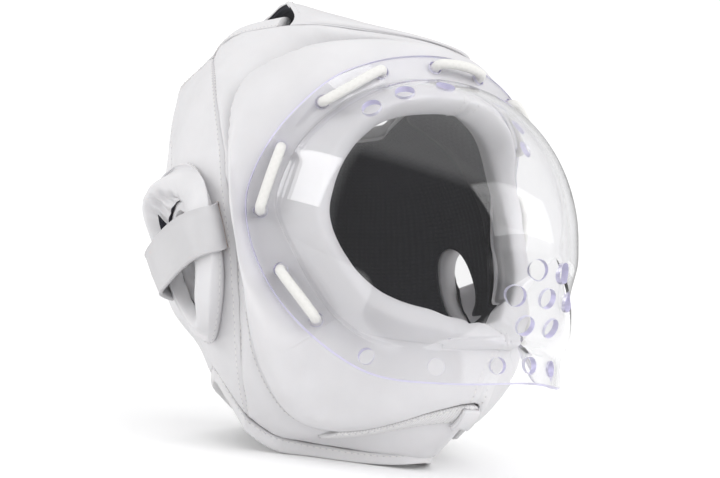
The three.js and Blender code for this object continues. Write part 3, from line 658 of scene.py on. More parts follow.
def polycarbonate_material():
    """Thermoformed polycarbonate: water clear through the wall, milky violet on sawn and drilled edges."""
    material, tree = new_material("thermoformed_polycarbonate")
    place = add(tree, "ShaderNodeTexCoord").outputs["Object"]
    sawn = add(tree, "ShaderNodeAttribute", {"attribute_name": "sawn"}).outputs["Fac"]
    ripple = emboss(tree, cloud(tree, place, 9.0, Detail=1.0), 0.05, 0.002)
    glass = add(tree, "ShaderNodeBsdfPrincipled", IOR=1.585, Normal=ripple,
                Base_Color=blend(tree, sawn, (1, 1, 1, 1), linear(colours().edge)),
                Roughness=ranged(tree, sawn, 0.0, 1.0, 0.015, 0.3),
                Transmission_Weight=ranged(tree, sawn, 0.0, 1.0, 1.0, 0.35))
    clear = add(tree, "ShaderNodeBsdfTransparent", Color=(1, 1, 1, 1))
    shadow = add(tree, "ShaderNodeLightPath").outputs["Is Shadow Ray"]
    mixed = add(tree, "ShaderNodeMixShader", i0=shadow, i1=glass.outputs[0], i2=clear.outputs[0])
    tint = add(tree, "ShaderNodeVolumeAbsorption", Color=linear(colours().tint), Density=7.0)
    add(tree, "ShaderNodeOutputMaterial", Surface=mixed.outputs[0], Volume=tint.outputs[0])
    return material


def braid_material():
    """Braided polyester cord: two sets of strands crossing at a slant, dull and a little hairy."""
    material, tree = new_material("braided_polyester_cord")
    run = add(tree, "ShaderNodeAttribute", {"attribute_name": "run"}).outputs["Fac"]
    turn = add(tree, "ShaderNodeAttribute", {"attribute_name": "turn"}).outputs["Fac"]
    strands = []
    for way in (1, -1):
        phase = calc(tree, "MULTIPLY_ADD", turn, 8.0 * way, calc(tree, "MULTIPLY", run, 560.0))
        strands.append(calc(tree, "PINGPONG", phase, 1.0))
    woven = calc(tree, "MAXIMUM", *strands)
    # Darker in the hollows between the strands: painted shade.
    colour = blend(tree, woven, linear("D4D3D0"), linear(colours().lace))
    opaque(tree, colour, 0.75, Normal=emboss(tree, woven, 0.2, 0.0004), Sheen_Weight=0.25, IOR=1.5)
    return material


def thread_material():
    """Twisted polyester thread, a shade greyer than the leather it sinks into."""
    material, tree = new_material("twisted_polyester_thread")
    place = add(tree, "ShaderNodeTexCoord").outputs["Object"]
    twist = ribbed(tree, place, "DIAGONAL", 900.0)
    opaque(tree, linear(colours().thread), 0.6, Normal=emboss(tree, twist, 0.4, 0.0001), IOR=1.5)
    return material


def needle_material():
    """Needle hole: the leather's torn edge in shadow."""
    material, tree = new_material("needle_hole_shadow")
    place = add(tree, "ShaderNodeTexCoord").outputs["Object"]
    colour = blend(tree, cloud(tree, place, 2500.0), linear(colours().needle), linear("C9C7CA"))
    opaque(tree, colour, 0.95, IOR=1.4)
    return material


def floor_material():
    """Matt painted board, so pale that it only shows by the helmet's shadow."""
    material, tree = new_material("matt_painted_board")
    place = add(tree, "ShaderNodeTexCoord").outputs["Object"]
    tooth = cloud(tree, place, 900.0, Detail=3.0)
    opaque(tree, linear(colours().floor), 0.85, Normal=emboss(tree, tooth, 0.1, 0.0002), IOR=1.45)
    return material


MATERIALS = {}


def material(name):
    """One of the helmet's finishes, made the first time that it is asked for."""
    if name not in MATERIALS:
        makers = {
            "leather": lambda: leather_material("embossed_pu_leather", colours().leather, "C8C7C9"),
            "binding": lambda: leather_material("folded_pu_binding", colours().binding, "CFCECE"),
            # The straps get a darker copy of the same leather: painted shade.
            "strap_shaded_leather": lambda: leather_material("strap_leather_painted_shade", "BEBDBF", "B7B6B8"),
            "lining": lining_material,
            "webbing": webbing_material,
            "elastic": elastic_material,
            "visor": polycarbonate_material,
            "lace": braid_material,
            "thread": thread_material,
            "needle": needle_material,
            "floor": floor_material,
        }
        MATERIALS[name] = makers[name]()
    return MATERIALS[name]


# ---------------------------------------------------------------- repeats by Geometry Nodes


def node_group(name, inputs):
    """An empty geometry tree with named inputs and one geometry output."""
    tree = bpy.data.node_groups.new(name, "GeometryNodeTree")
    tree.interface.new_socket(name="Geometry", in_out="INPUT", socket_type="NodeSocketGeometry")
    for label, kind in inputs:
        tree.interface.new_socket(name=label, in_out="INPUT", socket_type=kind)
    tree.interface.new_socket(name="Geometry", in_out="OUTPUT", socket_type="NodeSocketGeometry")
    return tree, tree.nodes.new("NodeGroupInput").outputs


def end_group(tree, geometry, material_socket):
    """Realizes the instances, sets the material and ends the tree."""
    real = add(tree, "GeometryNodeRealizeInstances", Geometry=geometry)
    coloured = add(tree, "GeometryNodeSetMaterial", Geometry=real.outputs[0], Material=material_socket)
    smooth = add(tree, "GeometryNodeSetShadeSmooth", Geometry=coloured.outputs[0])
    add(tree, "NodeGroupOutput", Geometry=smooth.outputs[0])


def stitch_tree():
    """Small capsules at an even pitch along each line, turned along it."""
    tree, given = node_group("stitch_row", (
        ("Pitch", "NodeSocketFloat"), ("Shift", "NodeSocketFloat"), ("Length", "NodeSocketFloat"),
        ("Thickness", "NodeSocketFloat"), ("Material", "NodeSocketMaterial")))
    curve = add(tree, "GeometryNodeMeshToCurve", Mesh=given["Geometry"])
    even = add(tree, "GeometryNodeResampleCurve", {"mode": "LENGTH"},
               Curve=curve.outputs[0], Length=given["Pitch"])
    dots = add(tree, "GeometryNodeCurveToPoints", {"mode": "EVALUATED"}, Curve=even.outputs[0])
    push = add(tree, "ShaderNodeVectorMath", {"operation": "SCALE"},
               i0=dots.outputs["Tangent"], Scale=given["Shift"])
    moved = add(tree, "GeometryNodeSetPosition", Geometry=dots.outputs["Points"], Offset=push.outputs[0])
    shape = add(tree, "GeometryNodeMeshUVSphere", Segments=6, Rings=4, Radius=0.5)
    size = add(tree, "ShaderNodeCombineXYZ", X=given["Thickness"], Y=given["Thickness"], Z=given["Length"])
    bead = add(tree, "GeometryNodeTransform", Geometry=shape.outputs[0], Scale=size.outputs[0])
    placed = add(tree, "GeometryNodeInstanceOnPoints", Points=moved.outputs[0], Instance=bead.outputs[0],
                 Rotation=dots.outputs["Rotation"])
    end_group(tree, placed.outputs[0], given["Material"])
    return tree


def cord_tree():
    """A round cord along each line, with its run and turn kept for the braid."""
    tree, given = node_group("cord_sweep", (
        ("Thickness", "NodeSocketFloat"), ("Material", "NodeSocketMaterial")))
    curve = add(tree, "GeometryNodeMeshToCurve", Mesh=given["Geometry"])
    run = add(tree, "GeometryNodeSplineParameter")
    on_points = {"data_type": "FLOAT", "domain": "POINT"}
    kept = add(tree, "GeometryNodeStoreNamedAttribute", on_points,
               Geometry=curve.outputs[0], Name="run", Value=run.outputs["Length"])
    half = calc(tree, "MULTIPLY", given["Thickness"], 0.5)
    ring = add(tree, "GeometryNodeCurvePrimitiveCircle", {"mode": "RADIUS"}, Resolution=20, Radius=half)
    turn = add(tree, "GeometryNodeSplineParameter")
    profile = add(tree, "GeometryNodeStoreNamedAttribute", on_points,
                  Geometry=ring.outputs[0], Name="turn", Value=turn.outputs["Factor"])
    swept = add(tree, "GeometryNodeCurveToMesh", Curve=kept.outputs[0], Profile_Curve=profile.outputs[0])
    swept.inputs["Fill Caps"].default_value = True
    end_group(tree, swept.outputs[0], given["Material"])
    return tree


def drill_tree():
    """A drill at each point, turned to its way and as wide as its size."""
    tree, given = node_group("drills", (("Depth", "NodeSocketFloat"), ("Material", "NodeSocketMaterial")))
    way = add(tree, "GeometryNodeInputNamedAttribute", {"data_type": "FLOAT_VECTOR"}, Name="way")
    size = add(tree, "GeometryNodeInputNamedAttribute", {"data_type": "FLOAT"}, Name="size")
    turned = add(tree, "FunctionNodeAlignRotationToVector", {"axis": "Z"}, Vector=way.outputs[0])
    shape = add(tree, "GeometryNodeMeshCylinder", Vertices=32, Radius=1.0, Depth=given["Depth"])
    stretch = add(tree, "ShaderNodeCombineXYZ", X=size.outputs[0], Y=size.outputs[0], Z=1.0)
    placed = add(tree, "GeometryNodeInstanceOnPoints", Points=given["Geometry"],
                 Instance=shape.outputs["Mesh"], Rotation=turned.outputs[0], Scale=stretch.outputs[0])
    end_group(tree, placed.outputs[0], given["Material"])
    return tree


def run_tree(name, tree, base, values):
    """Runs a tree on a mesh and keeps the result as a plain mesh object."""
    holder = bpy.data.objects.new(name, base)
    bpy.context.scene.collection.objects.link(holder)
    change = holder.modifiers.new(tree.name, "NODES")
    change.node_group = tree
    for item in tree.interface.items_tree:
        if item.item_type == "SOCKET" and item.in_out == "INPUT" and item.name in values:
            change[item.identifier] = values[item.name]
    return apply_modifiers(holder)


def polyline_mesh(name, polylines):
    """A mesh of edges through rows of points in mm."""
    vertices, edges = [], []
    for points in polylines:
        start = len(vertices)
        vertices += [tuple(p) for p in to_frame(points)]
        edges += [(start + i, start + i + 1) for i in range(len(points) - 1)]
    mesh = bpy.data.meshes.new(name)
    mesh.from_pydata(vertices, edges, [])
    return mesh


# ---------------------------------------------------------------- rows of stitches

SEWN = []  # rows of points in mm, each lying on the face that it is sewn through


def sew(face, column, start=0.0, end=1.0, lift=-0.1, both=False):
    """Keeps a row of a face's grid, at a real column number and from start to end of it, for stitching."""
    row = along(face.transpose(1, 0, 2), np.array(float(column)))
    out = along(grid_normals(face, False).transpose(1, 0, 2), np.array(float(column)))
    out = out * np.sign(np.sum(out * (row - HEAD), -1).mean())
    row = (row + unit(out) * lift)[int(start * len(row)) : int(end * len(row))]
    SEWN.append(row)
    if both:
        SEWN.append(mirrored(row))


# ---------------------------------------------------------------- front


PER_STATION = 24  # rows of points in a station round the face
TOP_ROW, CHIN_ROW = 0, PER_STATION * STATIONS // 2  # rows in the middle of the brow and of the chin
AROUND = np.linspace(0, STATIONS, PER_STATION * STATIONS + 1)[:-1]


def upper_share(at):
    """1 at the brow and temples, 0 below the cheek, where the front pad is less gathered."""
    down, _ = folded(at, STATIONS)
    return 1 - ease((down - 6) / 2.5)


def chin_seam(at, width):
    """1 on the short seam in the middle of the chin."""
    down, _ = folded(at, STATIONS)
    return hill(down - STATIONS / 2, width)


def pad_grid(at, t):
    """The front pad's face: t runs over its edge, 1, its swell, 2, its shoulder, 3, and its crest, 4."""
    edge = line("pad", at)
    shoulder, crest = pad_face(at)
    down, _ = folded(at, STATIONS)
    plump = PAD_SWELL * (1 - 0.6 * np.clip((down - LEAVES + 1) / 3, 0, 1))
    swell = edge * 0.6 + shoulder * 0.4 + edge - inward(edge, plump)
    controls = np.stack([inward(edge, 5), edge, swell, shoulder, crest, inward(crest, 4)])
    return np.moveaxis(along(controls, t), 0, 1)


def make_front_pad():
    """Front pad: gathers by its seam, slow swells and a few folds, and a short seam at the chin."""
    t = np.concatenate([np.linspace(0.2, 1.6, 22), np.linspace(1.65, 3, 18), np.linspace(3.1, 4.7, 14)])
    face = pad_grid(AROUND, t)
    at, tt = np.meshgrid(AROUND, t, indexing="ij")
    run = lengths(face, 0)[:, None]
    gather = hill(tt - 1.05, 0.28) * spread(upper_share(AROUND))
    pitch = 3.4 + 0.5 * noise(at * 1.2, at * 0, 3, 36)
    uneven = 0.7 + 0.3 * noise(at * 2, tt, 4, 60)
    ribs = sizes().pucker / MM * gather * np.sin(2 * math.pi * run / pitch) * uneven
    slow = 0.7 * noise(at, tt * 1.3, 5, 30) * np.clip(tt - 0.8, 0, 1) * np.clip(3.4 - tt, 0, 1)
    folds = 0.35 * noise(at * 3, tt * 1.1 + at * 0.4, 6, 90) * hill(tt - 1.4, 0.5)
    seam = -0.8 * chin_seam(at, 0.08) * np.clip(tt - 0.6, 0, 1)
    face = face + grid_normals(face, True) * spread(ribs + slow + folds + seam)
    for column in (CHIN_ROW - 6, CHIN_ROW + 6):
        sew(face.transpose(1, 0, 2), column, 0.12, 0.95)
    shoulder, crest = pad_face(AROUND)
    edge = line("pad", AROUND)
    back = np.stack([inward(crest, PAD_DEPTH), inward(shoulder, PAD_DEPTH), inward(edge, WALL)], 1)
    made = closed_solid("front_pad_shell", np.concatenate([face, back], 1), material("leather"), wrap=True)
    settle(made, ["front_pad"])


def make_face_roll():
    """Face roll: a full padded ring from the pad's crest into the dome, with seams at brow and chin."""
    _, crest = pad_face(AROUND)
    hem = line("hem", AROUND)
    start = crest + unit(hem - crest) * 1.2
    middle = (start + hem) / 2 - np.array((0, ROLL_SWELL, 0))
    outward = hem - np.stack([np.zeros(len(hem)), hem[:, 1], np.full(len(hem), HEAD[2])], 1)
    back = inward(hem, 2) + np.array((0, ROLL_DEPTH * 0.8, 0)) + unit(outward * np.array((1, 0, 1))) * 7
    controls = np.stack([inward(start, 5), start, middle, hem, back, inward(back, 3)])
    t = np.linspace(0.3, 4.0, 64)
    face = np.moveaxis(along(controls, t), 0, 1)
    at, tt = np.meshgrid(AROUND, t, indexing="ij")
    swell = 0.6 * noise(at, tt, 11, 30) * np.clip(tt - 0.8, 0, 1)
    down, _ = folded(at, STATIONS)
    seam = -1.1 * (hill(down, 0.07) + chin_seam(at, 0.09)) * np.clip(tt - 0.9, 0, 1)
    drawn = 0.12 * noise(at * 3, tt, 12, 90) * hill(tt - 3, 0.5)
    face = face + grid_normals(face, True) * spread(swell + seam + drawn)
    for column in (5, -5):
        sew(face.transpose(1, 0, 2), (TOP_ROW + column) % len(AROUND), 0.2, 0.75)
        sew(face.transpose(1, 0, 2), CHIN_ROW + column, 0.2, 0.75)
    inner = inward(start, PAD_DEPTH - 2)[:, None]
    made = closed_solid("face_roll_cover", np.concatenate([face, inner], 1), material("leather"), wrap=True)
    settle(made, ["face_roll"])


def surround_grid(at, s):
    """The surround from the front pad's edge, 0, to its outer seam, 1."""
    edge, seam = line("pad", at), seam_at(at)
    inset = unit(seam - edge)
    start, end = inward(edge, 2) + inset * 0.3, seam
    return start[:, None] * (1 - s)[None, :, None] + end[:, None] * s[None, :, None]


def make_surround():
    """Surround: sunk beside the front pad and at its seams, full between, with a valley at the temples."""
    corners = [FIRST_LEVEL, LAST_LEVEL, STATIONS - FIRST_LEVEL, STATIONS - LAST_LEVEL]
    at = np.unique(np.concatenate([AROUND, corners]))
    s = np.linspace(0, 1, 40)
    face = surround_grid(at, s)
    wide = np.linalg.norm(face[:, -1] - face[:, 0], axis=-1)[:, None]
    near, far = s[None] * wide, (1 - s[None]) * wide
    upper = spread(upper_share(at))
    aa, ss = np.meshgrid(at, s, indexing="ij")
    down, _ = folded(aa, STATIONS)
    brow = hill(down, 1.6)
    temple = hill(down - 3.5, 1.1)
    valley = -(1.2 + 3.6 * upper) * hill(near, 8.5) - hill(far, 1.9)
    valley *= 1 - 0.9 * brow
    valley -= 3.4 * temple * hill(near - 5, 9) * ease(far / 6)
    plump = 1.6 * (4 * ss * (1 - ss)) ** 0.8 * np.clip(wide / 14, 0, 1) + 1.4 * brow * ease(ss * 1.5)
    run = lengths(face, 0)[:, None]
    phase = 2 * math.pi * run / 3.6 + 2 * noise(aa * 2, ss * 2, 21, 60)
    ribs = 0.2 * upper * hill(near, 8) * np.sin(phase)
    creases = 0.5 * noise(aa * 4, near / 14, 22, 120) * hill(far, 12) * np.clip(wide / 12, 0, 1)
    face = face + normals_from(face, True, HEAD) * spread(valley + plump + ribs + creases)
    first, last = np.searchsorted(at, (FIRST_LEVEL + 0.1, LAST_LEVEL - 0.1))
    row = face[first:last, -3]
    SEWN.extend([row, mirrored(row)])
    lower = (at > 7) & (at < STATIONS - 7)
    inset = len(s) * 3.2 / np.maximum(wide[lower, 0], 12)
    SEWN.append(np.stack([along(points, column) for points, column in zip(face[lower], inset)]))
    back = np.stack([inward(face[:, -1], WALL - 2), inward(face[:, 0], WALL - 5)], 1)
    made = closed_solid("surround_cover", np.concatenate([face, back], 1), material("leather"), wrap=True)
    settle(made, ["surround_panel"])


def make_face_lining():
    """Knitted lining behind the front pad and the surround."""
    shoulder, crest = pad_face(AROUND)
    seam = inward(seam_at(AROUND), WALL + 5)
    middle = inward(shoulder, PAD_DEPTH + 2)
    first = inward(crest, PAD_DEPTH + 2) * 0.66 + middle * 0.34
    last = middle * 0.03 + seam * 0.97
    t = np.linspace(0, 2, 24)
    face = np.moveaxis(along(np.stack([first, middle, last]), t), 0, 1)
    at, tt = np.meshgrid(AROUND, t, indexing="ij")
    back = inward(face + grid_normals(face, True) * spread(0.2 * noise(at * 2, tt * 3, 31, 60)), LINING_THICK)
    sections = np.concatenate([face, back[:, ::-1]], 1)
    made = closed_solid("face_lining_knit", sections, material("lining"), wrap=True)
    settle(made, ["face_lining"])


# ---------------------------------------------------------------- head panels


def ear_hole_tool(side):
    """A leaning oval bar through the side, 1 for the left and -1 for the right."""
    turn = np.linspace(0, 2 * math.pi, 41)[:-1]
    wide, tall = EAR_HOLE["wide"] * np.cos(turn), EAR_HOLE["tall"] * np.sin(turn)
    lean, rise = math.sin(EAR_HOLE["lean"]), math.cos(EAR_HOLE["lean"])
    y, z = EAR_HOLE["y"] + wide * rise + tall * lean, EAR_HOLE["z"] - wide * lean + tall * rise
    rows = [np.stack([np.full(len(turn), side * x), y, z], 1) for x in (55, 110)]
    return closed_solid("ear_hole_tool", rows, None)


def head_panel(name, span, nodes, seed):
    """A padded panel of the head's skin from one seam to another, from the crown to the rim."""
    trim = 0.003
    place = np.clip(np.linspace(*span, 1 + int(48 * (span[1] - span[0]))), span[0] + trim, span[1] - trim)
    level = np.clip(np.linspace(0, LAST, 150), trim, LAST - trim)
    pp, ll = np.meshgrid(place, level, indexing="ij")
    base, normal = skin(pp, ll), skin_normal(pp, ll)
    edge = np.minimum(pp - span[0], span[1] - pp) * PLACE_WIDE
    end = np.minimum(ll, LAST - ll) * LEVEL_TALL
    tuck = -hill(edge, 2.2) - hill(end, 2)
    creases = 0.3 * noise(pp * 2 + ll, ll * 5, seed + 1) * hill(edge, 14)
    folds = 0.45 * noise(pp * 3, ll * 1.5, seed) + creases
    outer = base + normal * spread(bump(pp, ll, span, SWELL) + tuck + folds)
    for mark in (span[0] + 0.1, span[1] - 0.1):
        sew(outer.transpose(1, 0, 2), np.interp(mark, place, np.arange(len(place))), 0.02, 0.98)
    side_edge = spread(np.clip(1 - np.minimum(pp, 2 * NAPE - pp) / 0.25, 0, 1))
    inner = (base - normal * WALL) * (1 - side_edge) + inward(base, WALL - 2) * side_edge
    made = closed_solid(name, np.concatenate([outer, inner[:, ::-1]], 1), material("leather"))
    if span[0] == 0:
        combine(made, ear_hole_tool(1), "DIFFERENCE")
    if span[1] == 2 * NAPE:
        combine(made, ear_hole_tool(-1), "DIFFERENCE")
    settle(made, nodes)


def make_head_lining():
    """Knitted lining inside the head panels."""
    depth = WALL + 1.8
    place, level = np.linspace(0.08, 2 * NAPE - 0.08, 120), np.linspace(0.15, LAST - 0.2, 80)
    pp, ll = np.meshgrid(place, level, indexing="ij")
    base, normal = skin(pp, ll), skin_normal(pp, ll)
    ripple = 0.25 * noise(pp * 4, ll * 3, 41)
    outer = base - normal * spread(depth + ripple)
    inner = base - normal * spread(depth + LINING_THICK + ripple)
    made = closed_solid("head_lining_knit", np.concatenate([outer, inner[:, ::-1]], 1), material("lining"))
    combine(made, ear_hole_tool(1), "DIFFERENCE")
    combine(made, ear_hole_tool(-1), "DIFFERENCE")
    settle(made, ["head_lining"])


# ---------------------------------------------------------------- bands and flap


def band_path(at, first_station, sign, level):
    """A loop along the front's outer seam and a level line of the head panels."""
    at = np.asarray(at, float)
    down, right = folded(at, LOOP)
    front = seam_at(first_station + sign * np.minimum(down, FRONT_SHARE))
    back = skin(np.maximum(down - FRONT_SHARE, 0), np.full(down.shape, float(level)))
    out = np.where(spread(down <= FRONT_SHARE), front, back)
    out[right] = mirrored(out[right])
    return out


def crown_path(at):
    return band_path(at, 0, 1, 0)


def rim_path(at):
    return band_path(at, len(FRONT) - 1, -1, LAST)


# A band's section: shares of its thickness, inwards, and of its height.
BAND_SHARES = ((0.04, 0), (-0.08, 0.35), (-0.02, 0.78), (0.2, 1), (0.8, 1), (1, 0.75), (0.95, 0))


def band_sections(path, at, band, up, swell):
    p = path(at)
    inside = unit((np.array(band["middle"], float) - p) * np.array((1, 1, 0)))
    rise = unit(np.array((0, 0, up)) + inside * band["lean"])
    control = [p + inside * across * band["thick"] - np.array((0, 0, up * 0.5)) + rise * high * band["tall"]
               for across, high in BAND_SHARES]
    shares = np.linspace(0, len(control), 33)[:-1]
    sections = np.moveaxis(along(np.stack(control), shares, True), 0, 1)
    middle = sections.mean(1, keepdims=True)
    return middle + (sections - middle) * (1 + swell[:, None, None])


def make_bands():
    """Bindings round the crown's edge and round the rim."""
    at = np.linspace(FLAP_REACH, LOOP - FLAP_REACH, 460)
    ripple = 0.03 * noise(at * 5, at * 0, 51) + 0.02 * noise(at * 17, at * 0 + 3, 52)
    sections = band_sections(crown_path, at, CROWN_BAND, 1, ripple)
    sew(sections[:, 1:8], 1.4)
    made = closed_solid("crown_binding", sections, material("binding"))
    settle(made, ["crown_band"])
    at = np.linspace(0, LOOP, 561)[:-1]
    ripple = 0.03 * noise(at * 5, at * 0, 53, 80) + 0.02 * noise(at * 16, at * 0 + 3, 54, 256)
    sections = band_sections(rim_path, at, RIM_BAND, -1, ripple)
    lift = 3.5 * hill(folded(at, LOOP)[0], 0.55)
    sections[..., 2] = np.maximum(sections[..., 2] + spread(lift), spread(lift))
    sew(sections[:, 1:8], 1.6)
    made = closed_solid("rim_binding", sections, material("binding"), wrap=True)
    settle(made, ["rim_band"])


def flap_face(spots, across):
    """The flap's face: two rows up the crown band, where it is sewn, then the rows of its own table."""
    rows = []
    for high in (lambda u: 0 * u, lambda u: 0.4 + 0.45 * u * u):
        p = crown_path(across * (FLAP_REACH - FLAP_CLEAR))
        inside = unit((np.array(CROWN_BAND["middle"], float) - p) * np.array((1, 1, 0)))
        rise = unit(np.array((0, 0, 1)) + inside * CROWN_BAND["lean"])
        rows.append(p + inside * 0.02 * CROWN_BAND["thick"] + np.array((0, 0, BAND_GAP))
                    + rise * spread(high(across)) * CROWN_BAND["tall"])
    for mid, edge in FLAP:
        y, z = (m + (e - m) * across**2 for m, e in zip(mid, edge[1:]))
        rows.append(np.stack([across * edge[0], y, z], 1))
    return along(np.stack(rows), spots)


def make_flap():
    """Top flap: padded and grooved along its rim; its underside behind the brow is dark knit, painted shade
    for the gap under it.
    """
    rows = len(FLAP) + 2
    spots, across = np.linspace(0, rows - 1, 180), np.sin(np.linspace(-1, 1, 61) * math.pi / 2)
    face = flap_face(spots, across)
    normal = grid_normals(face, False)
    normal *= np.sign(normal[40, 30, 2])
    ss, uu = np.meshgrid(spots, across, indexing="ij")
    rim = np.minimum(np.minimum(ss, rows - 1 - ss) * FLAP_ROW, (1 - np.abs(uu)) * FLAP_HALF)
    groove = 0.35 * hill(rim - 3.2, 0.9)
    puff = 0.9 * (1 - np.exp(-rim / 5)) + 0.4 * noise(ss * 2, uu * 3, 61) - groove
    thin = FLAP_THICK * (0.55 + 0.45 * ease(rim / 2.2))
    top = face + normal * spread(puff * 0.8 - 0.6)
    under = face - normal * spread(thin)
    for column in (5.5, 54.5):
        sew(top, column, 0.12, 0.97)
    made = closed_solid("top_flap_pad", np.concatenate([top, under[:, ::-1]], 1), material("leather"))
    behind_brow = 0.012
    # Dark knit under the flap behind the brow: painted shade in the gap under the flap.
    paint(made, "lining", lambda face: face.normal.z < -0.3 and face.center.y > behind_brow)
    settle(made, ["top_flap"])


# ---------------------------------------------------------------- ears


def ring_sections(turns):
    """Control points of the left ear collar's sections, from its outer foot over its lip to its root."""
    feet = np.array([(0, *row[0]) for row in EAR_RING], float)
    lips = np.array([row[1] for row in EAR_RING], float)
    widths = np.array([row[2:] for row in EAR_RING], float)
    middle = lips.mean(0)
    at = np.linspace(0, len(lips), turns + 1)[:-1]
    lip, foot, wide = along(lips, at, True), along(feet, at, True), along(widths, at, True)
    crest, wall = wide[:, :1], wide[:, 1:]
    inner = unit((middle - lip) * np.array((0, 1, 1)))
    seats = [foot + inner * wall * share for share in (0, 0.5, 1)]
    foot, under, root = (side_face(seat[:, 1], seat[:, 2], 0.4) for seat in seats)
    out = np.array((1.0, 0, 0))
    within = lip - out * 4 + inner * (crest + wall) / 2
    control = np.stack([
        foot,
        (foot + lip) / 2 - inner * 2.0,
        lip - out * 4 - inner * 0.8,
        lip + inner * crest * 0.3 + out * 0.4,
        lip + inner * crest * 0.8 + out * 0.2,
        within,
        root * 0.6 + within * 0.4,
        root,
        under,
    ])
    return at, control


def make_ears():
    """Ear collars: soft rings with folds on their inner walls, and dark knit deep inside: a lining at the
    root, painted shade above it.
    """
    at, control = ring_sections(240)
    t = np.concatenate([np.linspace(0, 7, 52), np.linspace(7.25, 8.75, 6)])
    base = np.moveaxis(along(control, t, True), 0, 1)
    normal = normals_from(base, True, base.mean(axis=1, keepdims=True))
    aa, tt = np.meshgrid(at, t, indexing="ij")
    inner_wall = hill(tt - 5.4, 1.3)
    turns = len(EAR_RING)
    rear = hill(np.mod(aa + turns / 2 - 0.9, turns) - turns / 2, 1.5)
    folds = 0.8 * inner_wall * (0.15 + rear) * np.sin(aa * 15 + 1.2 * noise(aa * 2, tt, 72, 16))
    soft = 0.7 * noise(aa * 2, tt * 0.8, 73, 16) * np.clip(tt, 0, 1) * np.clip(7 - tt, 0, 1)
    pinch = -0.8 * hill(tt, 0.35)
    sections = base + normal * spread(folds + soft + pinch)
    sew(np.concatenate([sections, sections[:1]])[:, :20], 4.2, both=True)
    # The dark knit climbs from the collar's root up its inner wall, and higher at the lower rear: painted
    # shade deep in the ear hole, over a lining at the root.
    low = [5.0 if turn > 6.4 or turn < 0.3 else 6.5 for turn in at]
    lining_and_shade_faces = {int(i * len(t) + j) for i in range(len(at)) for j in range(len(t)) if low[i] < t[j] < 8.8}
    for word, shape in (("left", sections), ("right", mirrored(sections))):
        made = closed_solid("ear_collar_" + word, shape, material("leather"), wrap=True)
        paint(made, "lining", lambda face: lining_and_shade_faces.issuperset(face.vertices))
        settle(made, ["ear_ring_" + word])


# The strap's section, with a raised edge: shares of its half width and of its thickness.
STRAP_SHARES = ((-1, 0.2), (-1, 0.75), (-0.98, 1.0), (-0.95, 0.98), (-0.92, 0.88), (-0.6, 0.92), (0, 1),
                (0.6, 0.92), (0.92, 0.88), (0.95, 0.98), (0.98, 1.0), (1, 0.75), (1, 0.2), (0.9, 0), (0, 0),
                (-0.9, 0))


def make_straps():
    """Flat straps over the ear collars, with a tan elastic at the sewn front end."""
    at = np.linspace(0, len(STRAP_ROUTE) - 1, 160)
    centres = np.array([row[0] for row in STRAP_ROUTE], float)
    halves = np.array([row[1] for row in STRAP_ROUTE], float)
    p, half = along(centres, at), along(halves, at)
    out = unit(np.cross(along(centres, at + 0.05) - along(centres, at - 0.05), half))
    sag = 0.25 * noise(at * 2, at * 0, 81)
    sections = np.stack([p + half * u + out * (v * STRAP_THICK + spread(sag) * (1 - abs(u)))
                         for u, v in STRAP_SHARES], 1)
    sewn_end = set(range(4 * len(STRAP_SHARES)))
    for word, shape in (("left", sections), ("right", mirrored(sections))):
        # The straps' leather is a darker copy of the leather, as painted shade.
        made = closed_solid("ear_strap_band_" + word, shape, material("strap_shaded_leather"))
        paint(made, "elastic", lambda face: sewn_end.issuperset(face.vertices))
        settle(made, ["ear_strap_" + word])


# ---------------------------------------------------------------- chin trim


def surround_face(at, distance, height):
    """A point over the surround: a distance out from the front pad's edge, and raised by a height."""
    edge = inward(line("pad", at), 2)
    across = unit(seam_at(at) - edge)
    return inward(edge + across * (spread(distance) if np.ndim(distance) else distance), -height)


def arch(distance, near, far):
    """0 at both edges of a strip and 1 in its middle."""
    return math.sin(math.pi * (distance - near) / (far - near))


def make_chin():
    """Corded tape under the chin and the tab over its middle."""
    near, far = CHIN_TAPE["near"], CHIN_TAPE["far"]
    at = np.linspace(CHIN_TAPE["start"], STATIONS - CHIN_TAPE["start"], 160)
    across = np.linspace(near, far, 11)
    under = [surround_face(at, d, CHIN_TAPE["lift"]) for d in across]
    over = [surround_face(at, d, 2.6 + 1.2 * arch(d, near, far)) for d in across]
    for column in (1.2, 8.8):
        sew(np.stack(over, 1), column, 0.01, 0.99)
    made = closed_solid("chin_tape", np.stack(over + under[::-1], 1), material("webbing"))
    settle(made, ["chin_band"])
    near, far, half = CHIN_TAB["near"], CHIN_TAB["far"], CHIN_TAB["half"]
    middle = np.full(25, STATIONS / 2)
    x = np.linspace(-half, half, len(middle))
    rounding = np.array((0, 0, 1)) * spread(0.8 * (x / half) ** 8)
    rows = []
    for d in np.linspace(near, far, 21):
        rise = 3.4 + 0.9 * arch(d, near, far) ** 0.6
        top, low = surround_face(middle, d, rise + 1.2), surround_face(middle, d, rise - 0.8)
        top[:, 0], low[:, 0] = x, x
        rows.append(np.concatenate([top - rounding, low[::-1]]))
    made = closed_solid("chin_tab_loop", np.stack(rows), material("leather"))
    settle(made, ["chin_tab"])


# ---------------------------------------------------------------- visor and laces


def visor_face(at, out):
    """The visor's outer face: out runs 0 at the middle of the dome, 1 at its foot, 2 at the flange's edge."""
    foot, edge = line("foot", at), line("flange", at)
    apex = np.array(APEX, float)
    share = np.maximum(1 - np.minimum(out, 1) ** DOME_ROUNDNESS, 0) ** DOME_FULLNESS
    dome = apex + (foot - apex) * spread(np.minimum(out, 1))
    dome[..., 1] = foot[..., 1] + (apex[1] - foot[..., 1]) * share
    return np.where(spread(out > 1), foot + (edge - foot) * spread(out - 1), dome)


def visor_normal(at, out):
    """The way out of the visor, from a short step on the same side of the dome's foot."""
    step = 0.02
    low = np.maximum(out - step, np.where(out > 1, 1, 0.001))
    high = np.where(out > 1, out, np.minimum(out + step, 1))
    low = np.where(high - low < 1e-4, high - step, low)
    around = visor_face(at + 0.1, out) - visor_face(at - 0.1, out)
    return unit(np.cross(around, visor_face(at, high) - visor_face(at, low)))


